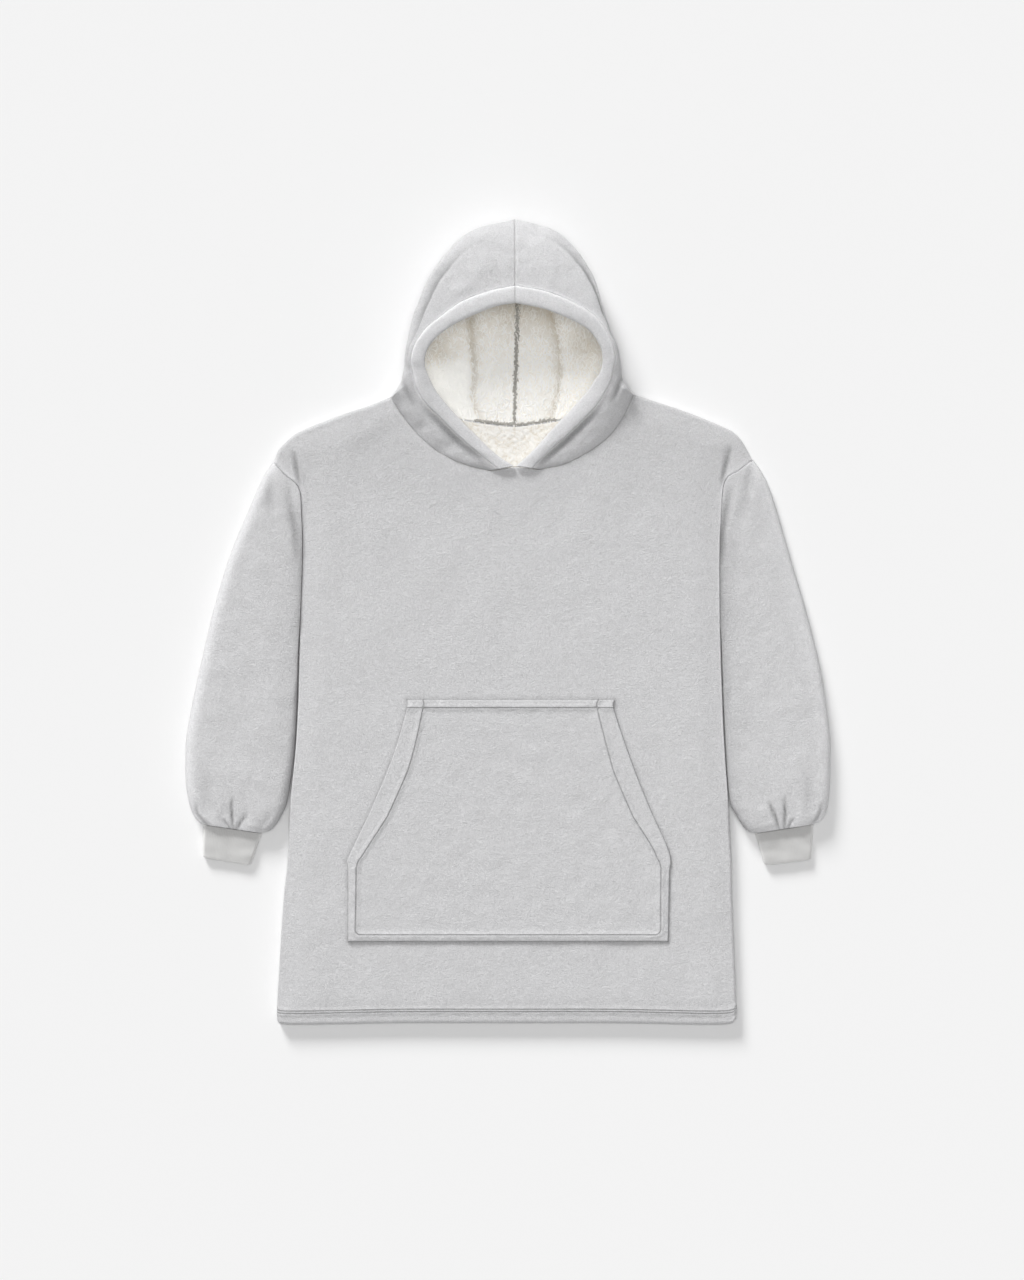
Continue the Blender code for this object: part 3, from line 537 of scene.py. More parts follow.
# Front panel. Flannel and sherpa in one thick layer, sewn to the back at the sides and shoulders.
# Its wide neck takes the hood, its hem is turned up and stitched twice, and it lies on the back.
FRONT_BED = BACK_WALL + SEAM_GAP
INNER_LOFT = 3.2
FRONT_WALL = 8.5
LOFT_REACH = 40.0
FRONT_TOP = FRONT_BED + INNER_LOFT + FRONT_WALL
NECK_SEAM_LEFT = named_rows(
    "x y",
    (-27, 215), (-64, 225), (-97, 241), (-126, 265), (-149, 293), (-160, 310), (-165, 320),
)
NECK_SEAM_RIGHT = named_rows(
    "x y",
    (47, 217), (80, 225), (114, 242), (142, 263), (162, 289), (173, 312), (178, 323),
)
HEM_STITCH = 18.0
HEM_STITCH_PAIR = 1.7
NECK_MIDDLE_RISE = 4.3
NECK_SEAM_POINTS = 60
FRONT_STEP = 4.4
SLEEVE_LEAVES = -290.0
SLEEVE_LEAVES_OVER = 60.0
SEAM_EDGE_DROP = 0.3
SEAM_EDGE_ROLL = 2.2
STILL_EDGE = 4.0
STILL_EDGE_OVER = 20.0
STILL_NECK = 2.0
STILL_NECK_OVER = 12.0
FRONT_RIPPLES = named_rows("height size", (0.4, 95), (0.1, 34))
SHOULDER_SHADE = 0.28
SHOULDER_SHADE_FROM = 90.0
SHOULDER_SHADE_OVER = 170.0
BODY_EDGE_LIGHT = 0.9
BODY_EDGE_WIDTH = 2.5
FRONT_CREASES = named_rows(
    "path width depth ridge shade",
    ([(-305, 244), (-301, 228), (-298, 208), (-294, 182)], 3.0, 3.4, 0.5, 2.2),
    ([(314, 250), (311, 234), (307, 216), (303, 190)], 3.0, 3.4, -0.5, 2.0),
    ([(-150, 300), (-190, 262), (-225, 236)], 16, 0.4, 0.4, 0.4),
    ([(168, 300), (215, 268), (250, 240)], 16, 0.8),
    ([(-60, 205), (-66, 168), (-60, 130)], 14, 0.6),
    ([(70, 205), (80, 160), (72, 118)], 14, 0.6),
)


def moved_sideways(points, distance):
    """A curve moved to its left by a distance, along its normals."""
    run = np.gradient(points, axis=0)
    run /= np.linalg.norm(run, axis=1)[:, None]
    return points + distance * np.stack([-run[:, 1], run[:, 0]], axis=1)


seam_left = curve(columns(NECK_SEAM_LEFT, "x", "y"), NECK_SEAM_POINTS)
seam_right = curve(columns(NECK_SEAM_RIGHT, "x", "y"), NECK_SEAM_POINTS)
neck_left = moved_sideways(seam_left, EDGE_GAP)[::-1]
neck_right = moved_sideways(seam_right, -EDGE_GAP)[::-1]
plan, side, from_hem, from_shoulder, from_top = body_plan(
    neck_left, neck_right, FRONT_STEP, NECK_MIDDLE_RISE
)
nearest = np.minimum(np.minimum(side, from_hem), from_shoulder)
bed = FRONT_BED + INNER_LOFT * smooth_step(nearest / LOFT_REACH)
beside_sleeve = smooth_step((plan[..., 1] - SLEEVE_LEAVES) / SLEEVE_LEAVES_OVER)
seam_drop = beside_sleeve * SEAM_EDGE_DROP * (1 - arc(side, SEAM_EDGE_ROLL))
side_drop = seam_drop + (1 - beside_sleeve) * (1 - arc(side, SIDE_ROLL))
drop = np.maximum(side_drop, 1 - arc(from_hem, SIDE_ROLL))
drop = np.maximum(drop, 1 - arc(from_shoulder, SIDE_ROLL))
crown = bed + FRONT_WALL - SIDE_ROLL_DEPTH * drop
still = smooth_step((nearest - STILL_EDGE) / STILL_EDGE_OVER)
still *= smooth_step((from_top - STILL_NECK) / STILL_NECK_OVER)
crown += still * ripples(plan[..., 0], plan[..., 1], 3, FRONT_RIPPLES)
fold_height, fold_shade = creases(plan[..., 0], plan[..., 1], FRONT_CREASES)
crown += fold_height
hemmed_flannel = flannel_material("plush_flannel_hemmed", FLANNEL_GREY, HEM_STITCH_PAIR)
body_front = add_panel("body_front_cloth", plan, crown, bed, hemmed_flannel)
mark_stitches(body_front, from_hem - HEM_STITCH)
front_plan = plan.reshape(-1, 2)
# Painted shade: darker towards the shoulders and along the creases, and a painted highlight along the
# side edge beside each sleeve.
up_shoulder = smooth_step((plan[..., 1] - SHOULDER_SHADE_FROM) / SHOULDER_SHADE_OVER)
edge_light = BODY_EDGE_LIGHT * beside_sleeve * bell(side, BODY_EDGE_WIDTH)
front_shade = (fold_shade + SHOULDER_SHADE * up_shoulder - edge_light).ravel()
dress(body_front, "flannel", "body_front")


# Pocket. One flannel kangaroo pocket, sewn to the front along its top, bottom and lower sides.
# All its edges are turned in and stitched, the slanted hand openings with a wider hem.
POCKET_WALL = 2.5
POCKET_HEM_RISE = 1.3
POCKET_TOP_HEM = 12.0
POCKET_BOTTOM_HEM = 9.5
POCKET_CORNER = 7.0
POCKET_SIDE = 355.0
POCKET_WIDTH = 455.0
POCKET_STEP_UP = 3.0
POCKET_STEP_ACROSS = 3.4
POCKET_HEM_SLOPE = 4.0
POCKET_EDGE_ROLL = 2.5
POCKET_EDGE_DROP = 1.5
POCKET_RIPPLES = named_rows("height size", (0.3, 40))
POCKET_RIPPLE_FADE = 12.0
POCKET_EDGE = 0.5
POCKET_EDGE_SHADE = 2.4
POCKET_HALO_SHADE = 0.9
POCKET_HALO_WIDTH = 3.6
POCKET_HALO_BOX = dict(half_width=245, low=-470, high=-95)
POCKET_SIDE_HEM = named_rows(
    "y width",
    (-452, 11.0), (-348, 12.0), (-334, 18.0), (-276, 28.0), (-210, 30.0), (-156, 26.0),
    (-109, 23.0),
)
POCKET_LEFT = named_rows(
    "x y",
    (-227, -452), (-227, -353), (-229, -339), (-222, -322), (-193, -261), (-163, -188),
    (-144, -123), (-143, -109),
)
POCKET_RIGHT = named_rows(
    "x y",
    (227, -452), (229, -357), (231, -339), (225, -315), (203, -267), (178, -205), (151, -126),
    (151, -109),
)
POCKET_CREASES = named_rows(
    "path width depth ridge shade",
    ([(149, -218), (143, -262), (135, -310)], 9, 0.8),
    ([(-20, -150), (-30, -230), (-18, -320)], 30, 0.5),
)

shares = graded(POCKET_SIDE, POCKET_STEP_UP)
left = at_shares(outline(POCKET_LEFT), shares)
right = at_shares(outline(POCKET_RIGHT), shares)
across = graded(POCKET_WIDTH, POCKET_STEP_ACROSS)
bottom = left[0] + (right[0] - left[0]) * across[:, None]
top = left[-1] + (right[-1] - left[-1]) * across[:, None]
plan = patch(left, right, bottom, top, across)
widths = np.linalg.norm(plan[:, -1] - plan[:, 0], axis=1)[:, None]
from_side = np.minimum(across, 1 - across)[None] * widths
from_bottom, from_top = plan[..., 1] - plan[:1, :, 1], plan[-1:, :, 1] - plan[..., 1]
from_ends = np.minimum(from_bottom, from_top)
side_hem = columns(POCKET_SIDE_HEM, "y", "width")
side_hem = np.interp(plan[..., 1], side_hem[:, 0], side_hem[:, 1])
past_side = from_side - side_hem
past_bottom = from_bottom - POCKET_BOTTOM_HEM
past_top = from_top - POCKET_TOP_HEM
into_corner = np.hypot(
    np.maximum(POCKET_CORNER - past_side, 0), np.maximum(POCKET_CORNER - past_bottom, 0)
)
past_sides = np.minimum(np.minimum(past_side, past_bottom), POCKET_CORNER - into_corner)
hem = smooth_step(0.5 - np.minimum(past_sides, past_top) / POCKET_HEM_SLOPE)
off_stitch = np.sign(past_sides * past_top) * np.minimum(np.abs(past_sides), np.abs(past_top))
edge = 1 - arc(np.minimum(from_side, from_ends), POCKET_EDGE_ROLL)
bed = np.full(plan.shape[:2], FRONT_TOP + SEAM_GAP)
crown = bed + POCKET_WALL + POCKET_HEM_RISE * hem - POCKET_EDGE_DROP * edge
uneven = ripples(plan[..., 0], plan[..., 1], 7, POCKET_RIPPLES)
uneven = uneven * smooth_step(from_side / POCKET_RIPPLE_FADE)
crown += uneven * smooth_step(from_ends / POCKET_RIPPLE_FADE)
crown += creases(plan[..., 0], plan[..., 1], POCKET_CREASES)[0]
pocket = add_panel("pocket_cloth", plan, crown, bed, flannel)
mark_stitches(pocket, off_stitch)
# Painted shade along the pocket's edges, and a painted shadow round it on the front panel.
rim_shade = POCKET_EDGE_SHADE * (np.minimum(from_side, from_ends) < POCKET_EDGE).ravel()
mark(pocket, "painted_light", np.concatenate([rim_shade, np.full(rim_shade.size, POCKET_EDGE_SHADE)]))
border = np.concatenate([plan[0, ::2], plan[-1, ::2], plan[::2, 0], plan[::2, -1]])
from_pocket = np.full(len(front_plan), FAR_OFF)
beside = np.abs(front_plan[:, 0]) < POCKET_HALO_BOX["half_width"]
beside &= (front_plan[:, 1] > POCKET_HALO_BOX["low"]) & (front_plan[:, 1] < POCKET_HALO_BOX["high"])
squares = np.sum((front_plan[beside, None] - border[None]) ** 2, axis=2)
from_pocket[beside] = np.sqrt(np.min(squares, axis=1))
mark(body_front, "painted_light", front_shade + POCKET_HALO_SHADE * bell(from_pocket, POCKET_HALO_WIDTH))
dress(pocket, "flannel", "pocket")


# Sleeves. Each is one flannel tube, sewn to the dropped shoulder and pressed flat beside the body.
# It is gathered into its cuff, so its last hand's width swells and falls in folds.
SLEEVE_GAP = 0.15
SLEEVE_HOLLOW = 3.4
SLEEVE_OUTER_ROLL = 16.0
SLEEVE_INNER_ROLL = 16.0
SLEEVE_SEAM_HOLD = 0.15
SLEEVE_SEAM_SHADE = 1.6
SLEEVE_BROAD_SHADE = 1.1
SLEEVE_END_SHADE = -1.4
SLEEVE_EDGE_SHADE = -0.9
UNDER_ROLL = 0.7
ARMHOLE = 260.0
SLEEVE_LENGTH = 545.0
SLEEVE_STEP = 4.0
SLEEVE_END = 56.0
SLEEVE_END_STEP = 2.2
SLEEVE_WIDTH = 130.0
SLEEVE_STEP_ACROSS = 3.4
SLEEVE_FOLD = 14.0
SLEEVE_RIPPLES = named_rows("height size", (0.6, 70), (0.25, 28))
SLEEVE_RIPPLE_FADE = 20.0
GATHERS = 4
GATHER_DEPTH = 1.0
GATHERS_FROM = 0.84
GATHERS_OVER = 0.14
CUFF_SEAM_FROM = 0.94
CUFF_SEAM_OVER = 0.05
SEAM_HELD_FROM = -265.0
SEAM_HELD_OVER = 70.0
SEAM_SHADE_WIDTH = 3.0
BROAD_SHADE_WIDTH = 15.0
SEAM_SHADE_TOP = 200.0
SEAM_SHADE_OVER = 110.0
SLEEVE_EDGE_WIDTH = 9.0
SLEEVE_OUTER_LEFT = named_rows(
    "x y",
    (-333, 227), (-348, 204), (-365, 165), (-393, 97), (-416, 22), (-437, -67), (-454, -151),
    (-457, -194), (-456, -232), (-450, -262), (-442, -279), (-432, -286),
)
SLEEVE_INNER_LEFT = named_rows(
    "x y",
    (-296, -25), (-298, -110), (-302, -181), (-311, -248), (-320, -273), (-334, -293), (-349, -299),
)
SLEEVE_OUTER_RIGHT = named_rows(
    "x y",
    (347, 231), (362, 209), (376, 175), (402, 86), (423, 15), (444, -72), (456, -157), (457, -194),
    (456, -232), (452, -265), (444, -280), (433, -286),
)
SLEEVE_INNER_RIGHT = named_rows(
    "x y",
    (302, -23), (305, -119), (308, -181), (313, -249), (324, -275), (338, -295), (351, -299),
)
SLEEVE_HEIGHT = named_rows(
    "along height",
    (0.0, 20.8), (0.35, 21.5), (0.7, 24.0), (0.88, 26.5), (0.96, 26.0), (1.0, 20.5),
)
LEFT_SLEEVE_CREASES = named_rows(
    "path width depth ridge shade",
    ([(-337, 216), (-337, 180), (-334, 140)], 6, 2.2, 0.4, 0.7),
    ([(-311, 192), (-307, 158), (-301, 128), (-299, 84)], 5, 2.6, 0.4, 1.4),
    ([(-390, -246), (-391, -270), (-388, -300)], 2.2, 2.6, 0.1, 3.3),
    ([(-368, -270), (-377, -281), (-388, -299)], 2.0, 2.2, 0.1, 2.8),
    ([(-404, -278), (-399, -284), (-390, -298)], 2.0, 1.8, 0.1, 2.3),
    ([(-442, -252), (-439, -272), (-425, -288), (-418, -296)], 2.6, 2.6, 0.3, 2.1),
    ([(-427, -205), (-426, -240), (-424, -275)], 8, 1.3, 0.4, 0.5),
    ([(-330, -262), (-342, -282), (-356, -300)], 5, 1.6, 0.4, 0.5),
)
RIGHT_SLEEVE_CREASES = named_rows(
    "path width depth ridge shade",
    ([(346, 220), (338, 184), (333, 144)], 6, 2.2, 0.4, 0.7),
    ([(316, 196), (310, 160), (305, 128), (303, 84)], 5, 2.4, 0.4, 1.4),
    ([(368, -252), (377, -272), (386, -300)], 2.2, 2.6, 0.1, 3.1),
    ([(391, -246), (392, -270), (391, -300)], 2.2, 2.6, 0.1, 3.2),
    ([(406, -276), (400, -284), (394, -298)], 2.0, 1.8, 0.1, 2.3),
    ([(444, -256), (441, -272), (428, -288), (420, -296)], 2.6, 2.6, 0.3, 2.0),
    ([(428, -215), (427, -242), (422, -275)], 8, 1.3, 0.4, 0.5),
)


def flat_tube(plan, heights, walls, rolls, dips, hold=0.0):
    """A flattened tube over a plan whose columns run from its outer to its inner fold.

    Each section closes in a round fold at both sides. The upper layer is lowered by the dips, and
    held up at the inner fold by a share of its height where the tube is sewn on there. The inner
    face is the same tube, set in by the wall. Returns the outer and inner points by ring.
    """
    rows = plan.shape[0]
    step = np.linalg.norm(np.diff(plan, axis=1), axis=2)
    from_outer = np.concatenate([np.zeros((rows, 1)), np.cumsum(step, axis=1)], axis=1)
    width = from_outer[:, -1:]
    share = from_outer / width
    middle = (heights / 2)[:, None]
    upper_arc = arc(from_outer, rolls[0]) * (hold + (1 - hold) * arc(width - from_outer, rolls[1]))
    lower_arc = arc(from_outer, rolls[0] * UNDER_ROLL) * arc(width - from_outer, rolls[0] * UNDER_ROLL)
    faces = []
    for inset, lowered in ((0.0, dips), (walls[:, None], 0.0)):
        centre = plan[:, :1] * (1 - share[..., None]) + plan[:, -1:] * share[..., None]
        squeeze = 1 - 2 * inset / width
        flat = centre[:, :1] + (centre[:, -1:] - centre[:, :1]) / 2
        placed = flat + (plan - flat) * np.reshape(squeeze, (-1, 1, 1))
        over = np.dstack([placed, middle + (middle - inset) * upper_arc - lowered])
        under = np.dstack([placed, middle - (middle - inset) * lower_arc])[:, 1:-1][:, ::-1]
        faces.append(np.concatenate([over, under], axis=1))
    return faces


def add_tube(name, outer, inner, material):
    """A closed wall between two stacks of rings, open at both ends of the tube."""
    quads = quads_of(np.arange(outer.shape[0] * outer.shape[1]).reshape(outer.shape[:2]), wrap=True)
    return add_wall(name, outer.reshape(-1, 3), inner.reshape(-1, 3), quads, material)


def sleeve(name, outer_table, inner_table, side_table, away, folds, seed):
    """The tube's plan is a patch between the armhole, the cuff line and its two folds."""
    along = graded(SLEEVE_LENGTH, SLEEVE_STEP, SLEEVE_END, SLEEVE_END_STEP)
    across = graded(SLEEVE_WIDTH, SLEEVE_STEP_ACROSS, SLEEVE_FOLD)
    side_line = outline(side_table)
    fall = across * ARMHOLE / run_lengths(side_line)[-1]
    armhole = moved_sideways(at_shares(side_line, fall), away * SLEEVE_GAP)
    outer = at_shares(outline(outer_table), along)
    inner = moved_sideways(at_shares(outline(inner_table), along), away * EDGE_GAP)
    outer[0], inner[0] = armhole[0], armhole[-1]
    cuff_line = outer[-1] + (inner[-1] - outer[-1]) * across[:, None]
    plan = patch(outer, inner, armhole, cuff_line, across)
    table = columns(SLEEVE_HEIGHT, "along", "height")
    heights = through(table, np.interp(along, table[:, 0], np.arange(len(table))))[:, 1]
    walls = heights / 2 - SLEEVE_HOLLOW / 2
    near_cuff = smooth_step((along - GATHERS_FROM) / GATHERS_OVER)[:, None]
    waves = 0.5 - 0.5 * np.cos(math.tau * GATHERS * across)
    dips = GATHER_DEPTH * near_cuff * waves
    x, y = plan[..., 0], plan[..., 1]
    width = np.linalg.norm(plan[:, -1] - plan[:, 0], axis=1)[:, None]
    still = smooth_step(np.minimum(across, 1 - across)[None] * width / SLEEVE_RIPPLE_FADE)
    dips = dips - still * ripples(x, y, seed, SLEEVE_RIPPLES)
    fold_height, fold_shade = creases(x, y, folds)
    dips = dips - fold_height
    hold = SLEEVE_SEAM_HOLD * smooth_step((inner[:, 1:] - SEAM_HELD_FROM) / SEAM_HELD_OVER)
    rings = flat_tube(plan, heights, walls, (SLEEVE_OUTER_ROLL, SLEEVE_INNER_ROLL), dips, hold)
    piece = add_tube(f"{name}_cloth", *rings, flannel)
    # Painted shade on the sleeve beside the body and along its folds; painted highlights near the cuff
    # and along its outer fold.
    from_body = np.abs(x - np.interp(y, side_line[::-1, 1], side_line[::-1, 0]))
    seam_shade = SLEEVE_SEAM_SHADE * np.exp(-from_body / SEAM_SHADE_WIDTH)
    seam_shade += SLEEVE_BROAD_SHADE * np.exp(-from_body / BROAD_SHADE_WIDTH)
    shade = smooth_step((SEAM_SHADE_TOP - y) / SEAM_SHADE_OVER) * seam_shade + fold_shade
    near_end = smooth_step((along - CUFF_SEAM_FROM) / CUFF_SEAM_OVER)[:, None]
    shade += SLEEVE_END_SHADE * near_end
    shade += SLEEVE_EDGE_SHADE * bell(across[None] * width, SLEEVE_EDGE_WIDTH)
    shade = np.concatenate([shade, np.zeros((len(along), rings[0].shape[1] - len(across)))], axis=1)
    mark(piece, "painted_light", shade.ravel())
    dress(piece, "flannel", name)


sleeve("sleeve_left", SLEEVE_OUTER_LEFT, SLEEVE_INNER_LEFT, BODY_SIDE_LEFT, -1,
       LEFT_SLEEVE_CREASES, 21)
sleeve("sleeve_right", SLEEVE_OUTER_RIGHT, SLEEVE_INNER_RIGHT, BODY_SIDE_RIGHT, 1,
       RIGHT_SLEEVE_CREASES, 31)


# Cuffs. Each is a doubled band of fine rib knit, sewn into a ring and stretched onto the sleeve.
# Laid flat it is a short tube that narrows a little towards its folded end.
CUFF_HEIGHT = 11.5
CUFF_WALL = 4.0
CUFF_ROLL = 4.5
RIB_PITCH = 2.4
RIB_RISE = 0.22
RIB_GREY = (0.590, 0.587, 0.580, 1)
CUFF_LENGTH = 48
CUFF_WIDTH = 82
CUFF_STEP = 2.5
CUFF_END = 5
CUFF_END_STEP = 0.9
POINTS_PER_RIB = 5
CUFF_CORNER = 5.0
CUFF_END_NARROWER = 0.1
CUFF_END_HEIGHT = 0.8
CUFF_HALF_HOLLOW = 0.6
RIB_FADE = 0.06
CUFF_RIPPLE = 0.45
CUFF_RIPPLE_SIZE = 24
CUFF_EDGE_LIGHT = 5.0
CUFF_EDGE_WIDTH = 2.4
CUFF_LEFT = dict(outer_top=(-432, -286), inner_top=(-349, -299),
                 outer_end=(-433, -333), inner_end=(-365, -344))
CUFF_RIGHT = dict(outer_top=(433, -286), inner_top=(351, -299),
                  outer_end=(430, -336), inner_end=(364, -344))


def rib_material(name, colour):
    """Fine rib knit: small rows of stitches over the ribs, which the mesh itself has.

    The colour goes from worn to fresh, and lighter by painted highlights where the painted-light mark
    is below zero.
    """
    material, nodes, links, shader = nodes_of(name)
    loops = add_noise(nodes, links, Scale=700.0, Detail=2.0, Roughness=0.6)
    wear = add_noise(nodes, links, Scale=70.0, Detail=2.0)
    add_bump(nodes, links, shader, loops, Strength=0.3, Distance=0.0004)
    tone = add_math(nodes, links, "SUBTRACT", wear, read_mark(nodes, "painted_light"))
    worn, fresh = scaled(colour, 0.95), scaled(colour, 1.04)
    add_tint(nodes, links, shader, tone, worn, fresh, clamp_factor=False)
    set_node(shader, Roughness=0.9, Specular_IOR_Level=0.15, Sheen_Weight=0.15)
    return material


rib = rib_material("fine_rib", RIB_GREY)


def cuff(name, corners):
    """A flat tube whose upper and lower faces carry ribs: a cosine across, one wave to a rib."""
    along = graded(CUFF_LENGTH, CUFF_STEP, CUFF_END, CUFF_END_STEP)[:, None]
    ribs = round(CUFF_WIDTH / RIB_PITCH)
    across = np.linspace(0, 1, POINTS_PER_RIB * ribs + 1)
    outer = np.array(corners["outer_top"]) * (1 - along) + np.array(corners["outer_end"]) * along
    inner = np.array(corners["inner_top"]) * (1 - along) + np.array(corners["inner_end"]) * along
    plan = outer[:, None] * (1 - across[None, :, None]) + inner[:, None] * across[None, :, None]
    plan[..., 1] -= EDGE_GAP
    end = arc((1 - along) * CUFF_LENGTH, CUFF_CORNER)
    middle = (plan[:, :1] + plan[:, -1:]) / 2
    plan = middle + (plan - middle) * (1 - CUFF_END_NARROWER * (1 - end))[..., None]
    heights = CUFF_HEIGHT * (CUFF_END_HEIGHT + (1 - CUFF_END_HEIGHT) * end[:, 0])
    walls = np.minimum(CUFF_WALL, heights / 2 - CUFF_HALF_HOLLOW)
    fade = smooth_step(along / RIB_FADE)
    dips = RIB_RISE * fade * (0.5 + 0.5 * np.cos(math.tau * ribs * across))[None]
    dips = dips - CUFF_RIPPLE * ripple(plan[..., 0], plan[..., 1], CUFF_RIPPLE_SIZE, 37) * fade
    rings = flat_tube(plan, heights, walls, (CUFF_ROLL, CUFF_ROLL), dips)
    piece = add_tube(f"{name}_cloth", *rings, rib)
    # Painted highlight along the cuff's sides and folded end.
    widths = np.linalg.norm(inner - outer, axis=1)[:, None]
    from_side = np.minimum(across, 1 - across)[None] * widths
    from_edge = np.minimum(from_side, (1 - along) * CUFF_LENGTH)
    light = np.zeros((len(along), rings[0].shape[1]))
    light[:, : len(across)] = -CUFF_EDGE_LIGHT * bell(from_edge, CUFF_EDGE_WIDTH)
    mark(piece, "painted_light", light.ravel())
    dress(piece, "rib", name)


cuff("cuff_left", CUFF_LEFT)
cuff("cuff_right", CUFF_RIGHT)


# Hood. Two flannel panels, joined by a seam over the crown and down the back, and sewn into the neck.
# It lies open: its front edge stands round the face and its back is folded under onto the surface.
FLANNEL_WALL = 3.0
CREST = 1.5
HOOD_CENTRE = 10.0
NECK_SLOPE_ANGLE = 60.0
NECK_ROW = 6
NECK_SECTIONS = 70
CROWN_SECTIONS = 150
HOOD_RIPPLES = named_rows("height size", (0.9, 46), (0.45, 20))
HOOD_RIPPLE_FADE = 14.0
HOOD_CREASE_FADE = 0.12
HOOD_LEFT = named_rows(
    "inner outer bound",
    ((9, 221), (-13, 217), (-27, 215)), ((-18, 239), (-38, 237), (-64, 225)),
    ((-43, 263), (-68, 262), (-97, 241)), ((-68, 288), (-93, 287), (-126, 265)),
    ((-92, 315), (-117, 311), (-149, 293)), ((-104, 332), (-129, 331), (-160, 310)),
    ((-110, 344), (-133, 347), (-165, 320)), ((-115, 356), (-136, 359), (-152, 340)),
    ((-117, 367), (-137, 371), (-147, 361)), ((-114, 383), (-132, 391), (-144, 387)),
    ((-101, 401), (-116, 414), (-138, 417)), ((-78, 418), (-95, 431), (-129, 446)),
    ((-51, 431), (-65, 452), (-106, 497)), ((-18, 444), (-28, 466), (-57, 550)),
    ((10, 449), (10, 474), (10, 570)),
)
HOOD_RIGHT = named_rows(
    "inner outer bound",
    ((11, 221), (33, 218), (47, 217)), ((36, 244), (55, 240), (80, 225)),
    ((62, 273), (80, 262), (114, 242)), ((89, 301), (104, 285), (142, 263)),
    ((111, 326), (126, 308), (162, 289)), ((122, 342), (140, 331), (173, 312)),
    ((128, 350), (146, 344), (178, 323)), ((132, 360), (149, 360), (163, 343)),
    ((133, 373), (151, 374), (160, 365)), ((130, 388), (146, 395), (155, 391)),
    ((117, 408), (135, 416), (143, 417)), ((104, 418), (120, 434), (134, 447)),
    ((84, 428), (92, 451), (116, 498)), ((50, 441), (54, 466), (72, 550)),
    ((10, 449), (10, 474), (10, 570)),
)
HOOD_RISE = named_rows(
    "rim bound",
    (26, 21), (27, 21), (30, 21), (34, 21), (39, 21), (44, 21), (47, 10.5), (50, 17), (54, 25),
    (58, 31), (62, 35), (65, 37), (68, 37), (70, 36), (71, 35),
)
HOOD_UNDER = named_rows(
    "centre_y roll sag",
    (279, 10.5, 8), (305, 18, 5), (327, 28, 2), (350, 38, 0), (376, 45, 0), (404, 48, 0),
    (441, 48, 0), (479, 46, 0), (512, 42, 0),
)
HOOD_FOLD = named_rows(
    "row left right depth",
    (7, 0.45, 0.6, 0.0), (8, 0.45, 0.6, 1.4), (9, 0.45, 0.65, 2.2), (10, 0.48, 0.72, 3.0),
    (11, 0.62, 0.76, 4.2), (12, 0.72, 0.8, 4.5), (13, 0.78, 0.84, 1.0), (14, 0.78, 0.84, 0.0),
)
FOLD_LIP = 0.25
FOLD_LIP_WIDTH = 0.6
FOLD_DROP = 0.25
FOLD_BACK_FROM = 0.3
FOLD_BROAD_WIDTH = 0.5
FOLD_DEEPER = 1.5
FOLD_SHADE_WIDTH = 0.35
FOLD_SHADE_BEHIND = 0.35
FOLD_SHADE = 1.9
BAND_EDGE_LIGHT = 1.1
BAND_EDGE_WIDTH = 2.6
RIM_EDGE_ROLL = 2.5
RIM_EDGE_DROP = 0.9
RIM_EDGE_COLUMNS = (0, 0.006, 0.014, 0.026, 0.042)
HOOD_CREASES = named_rows(
    "path width depth ridge shade",
    ([(7, 566), (6, 520), (7, 476)], 3.2, 1.3, 0.3),
    ([(-20, 525), (6, 520), (34, 528)], 5, 0.9),
    ([(163, 356), (159, 340), (148, 312)], 4.0, 3.6, 0.4, 1.7),
    ([(-150, 350), (-145, 330), (-132, 304)], 4.5, 2.8, 0.4, 1.3),
    ([(-122, 308), (-98, 282), (-73, 257), (-48, 237), (-31, 220)], 6, 3.0, 0.0, 2.3),
    ([(130, 304), (108, 281), (84, 258), (60, 237), (38, 219)], 6, 3.0, 0.0, 2.1),
)
HOOD_SEAM_GAP = 0.14


def hood_rows(table, neck_count, crown_count):
    """Rim edges, bound and heights by station. The bound has a corner at the neck point."""
    neck = np.linspace(0, NECK_ROW, neck_count)
    crown = np.linspace(NECK_ROW, len(HOOD_RISE) - 1, crown_count)[1:]
    every = np.concatenate([neck, crown])
    rim = through(columns(table, "inner", "outer"), every)
    bound = columns(table, "bound")
    low, high = through(bound[: NECK_ROW + 1], neck), through(bound[NECK_ROW:], crown - NECK_ROW)
    rise = columns(HOOD_RISE, "rim", "bound")
    low_z = np.where(neck < NECK_ROW, FRONT_TOP, rise[NECK_ROW, 1])
    high_z = through(rise[NECK_ROW:], crown - NECK_ROW)[:, 1]
    return dict(
        station=every,
        inner=rim[:, :2],
        outer=rim[:, 2:],
        rim_z=through(rise, every)[:, 0],
        bound=np.concatenate([low, high]),
        bound_z=np.concatenate([low_z, high_z]),
    )


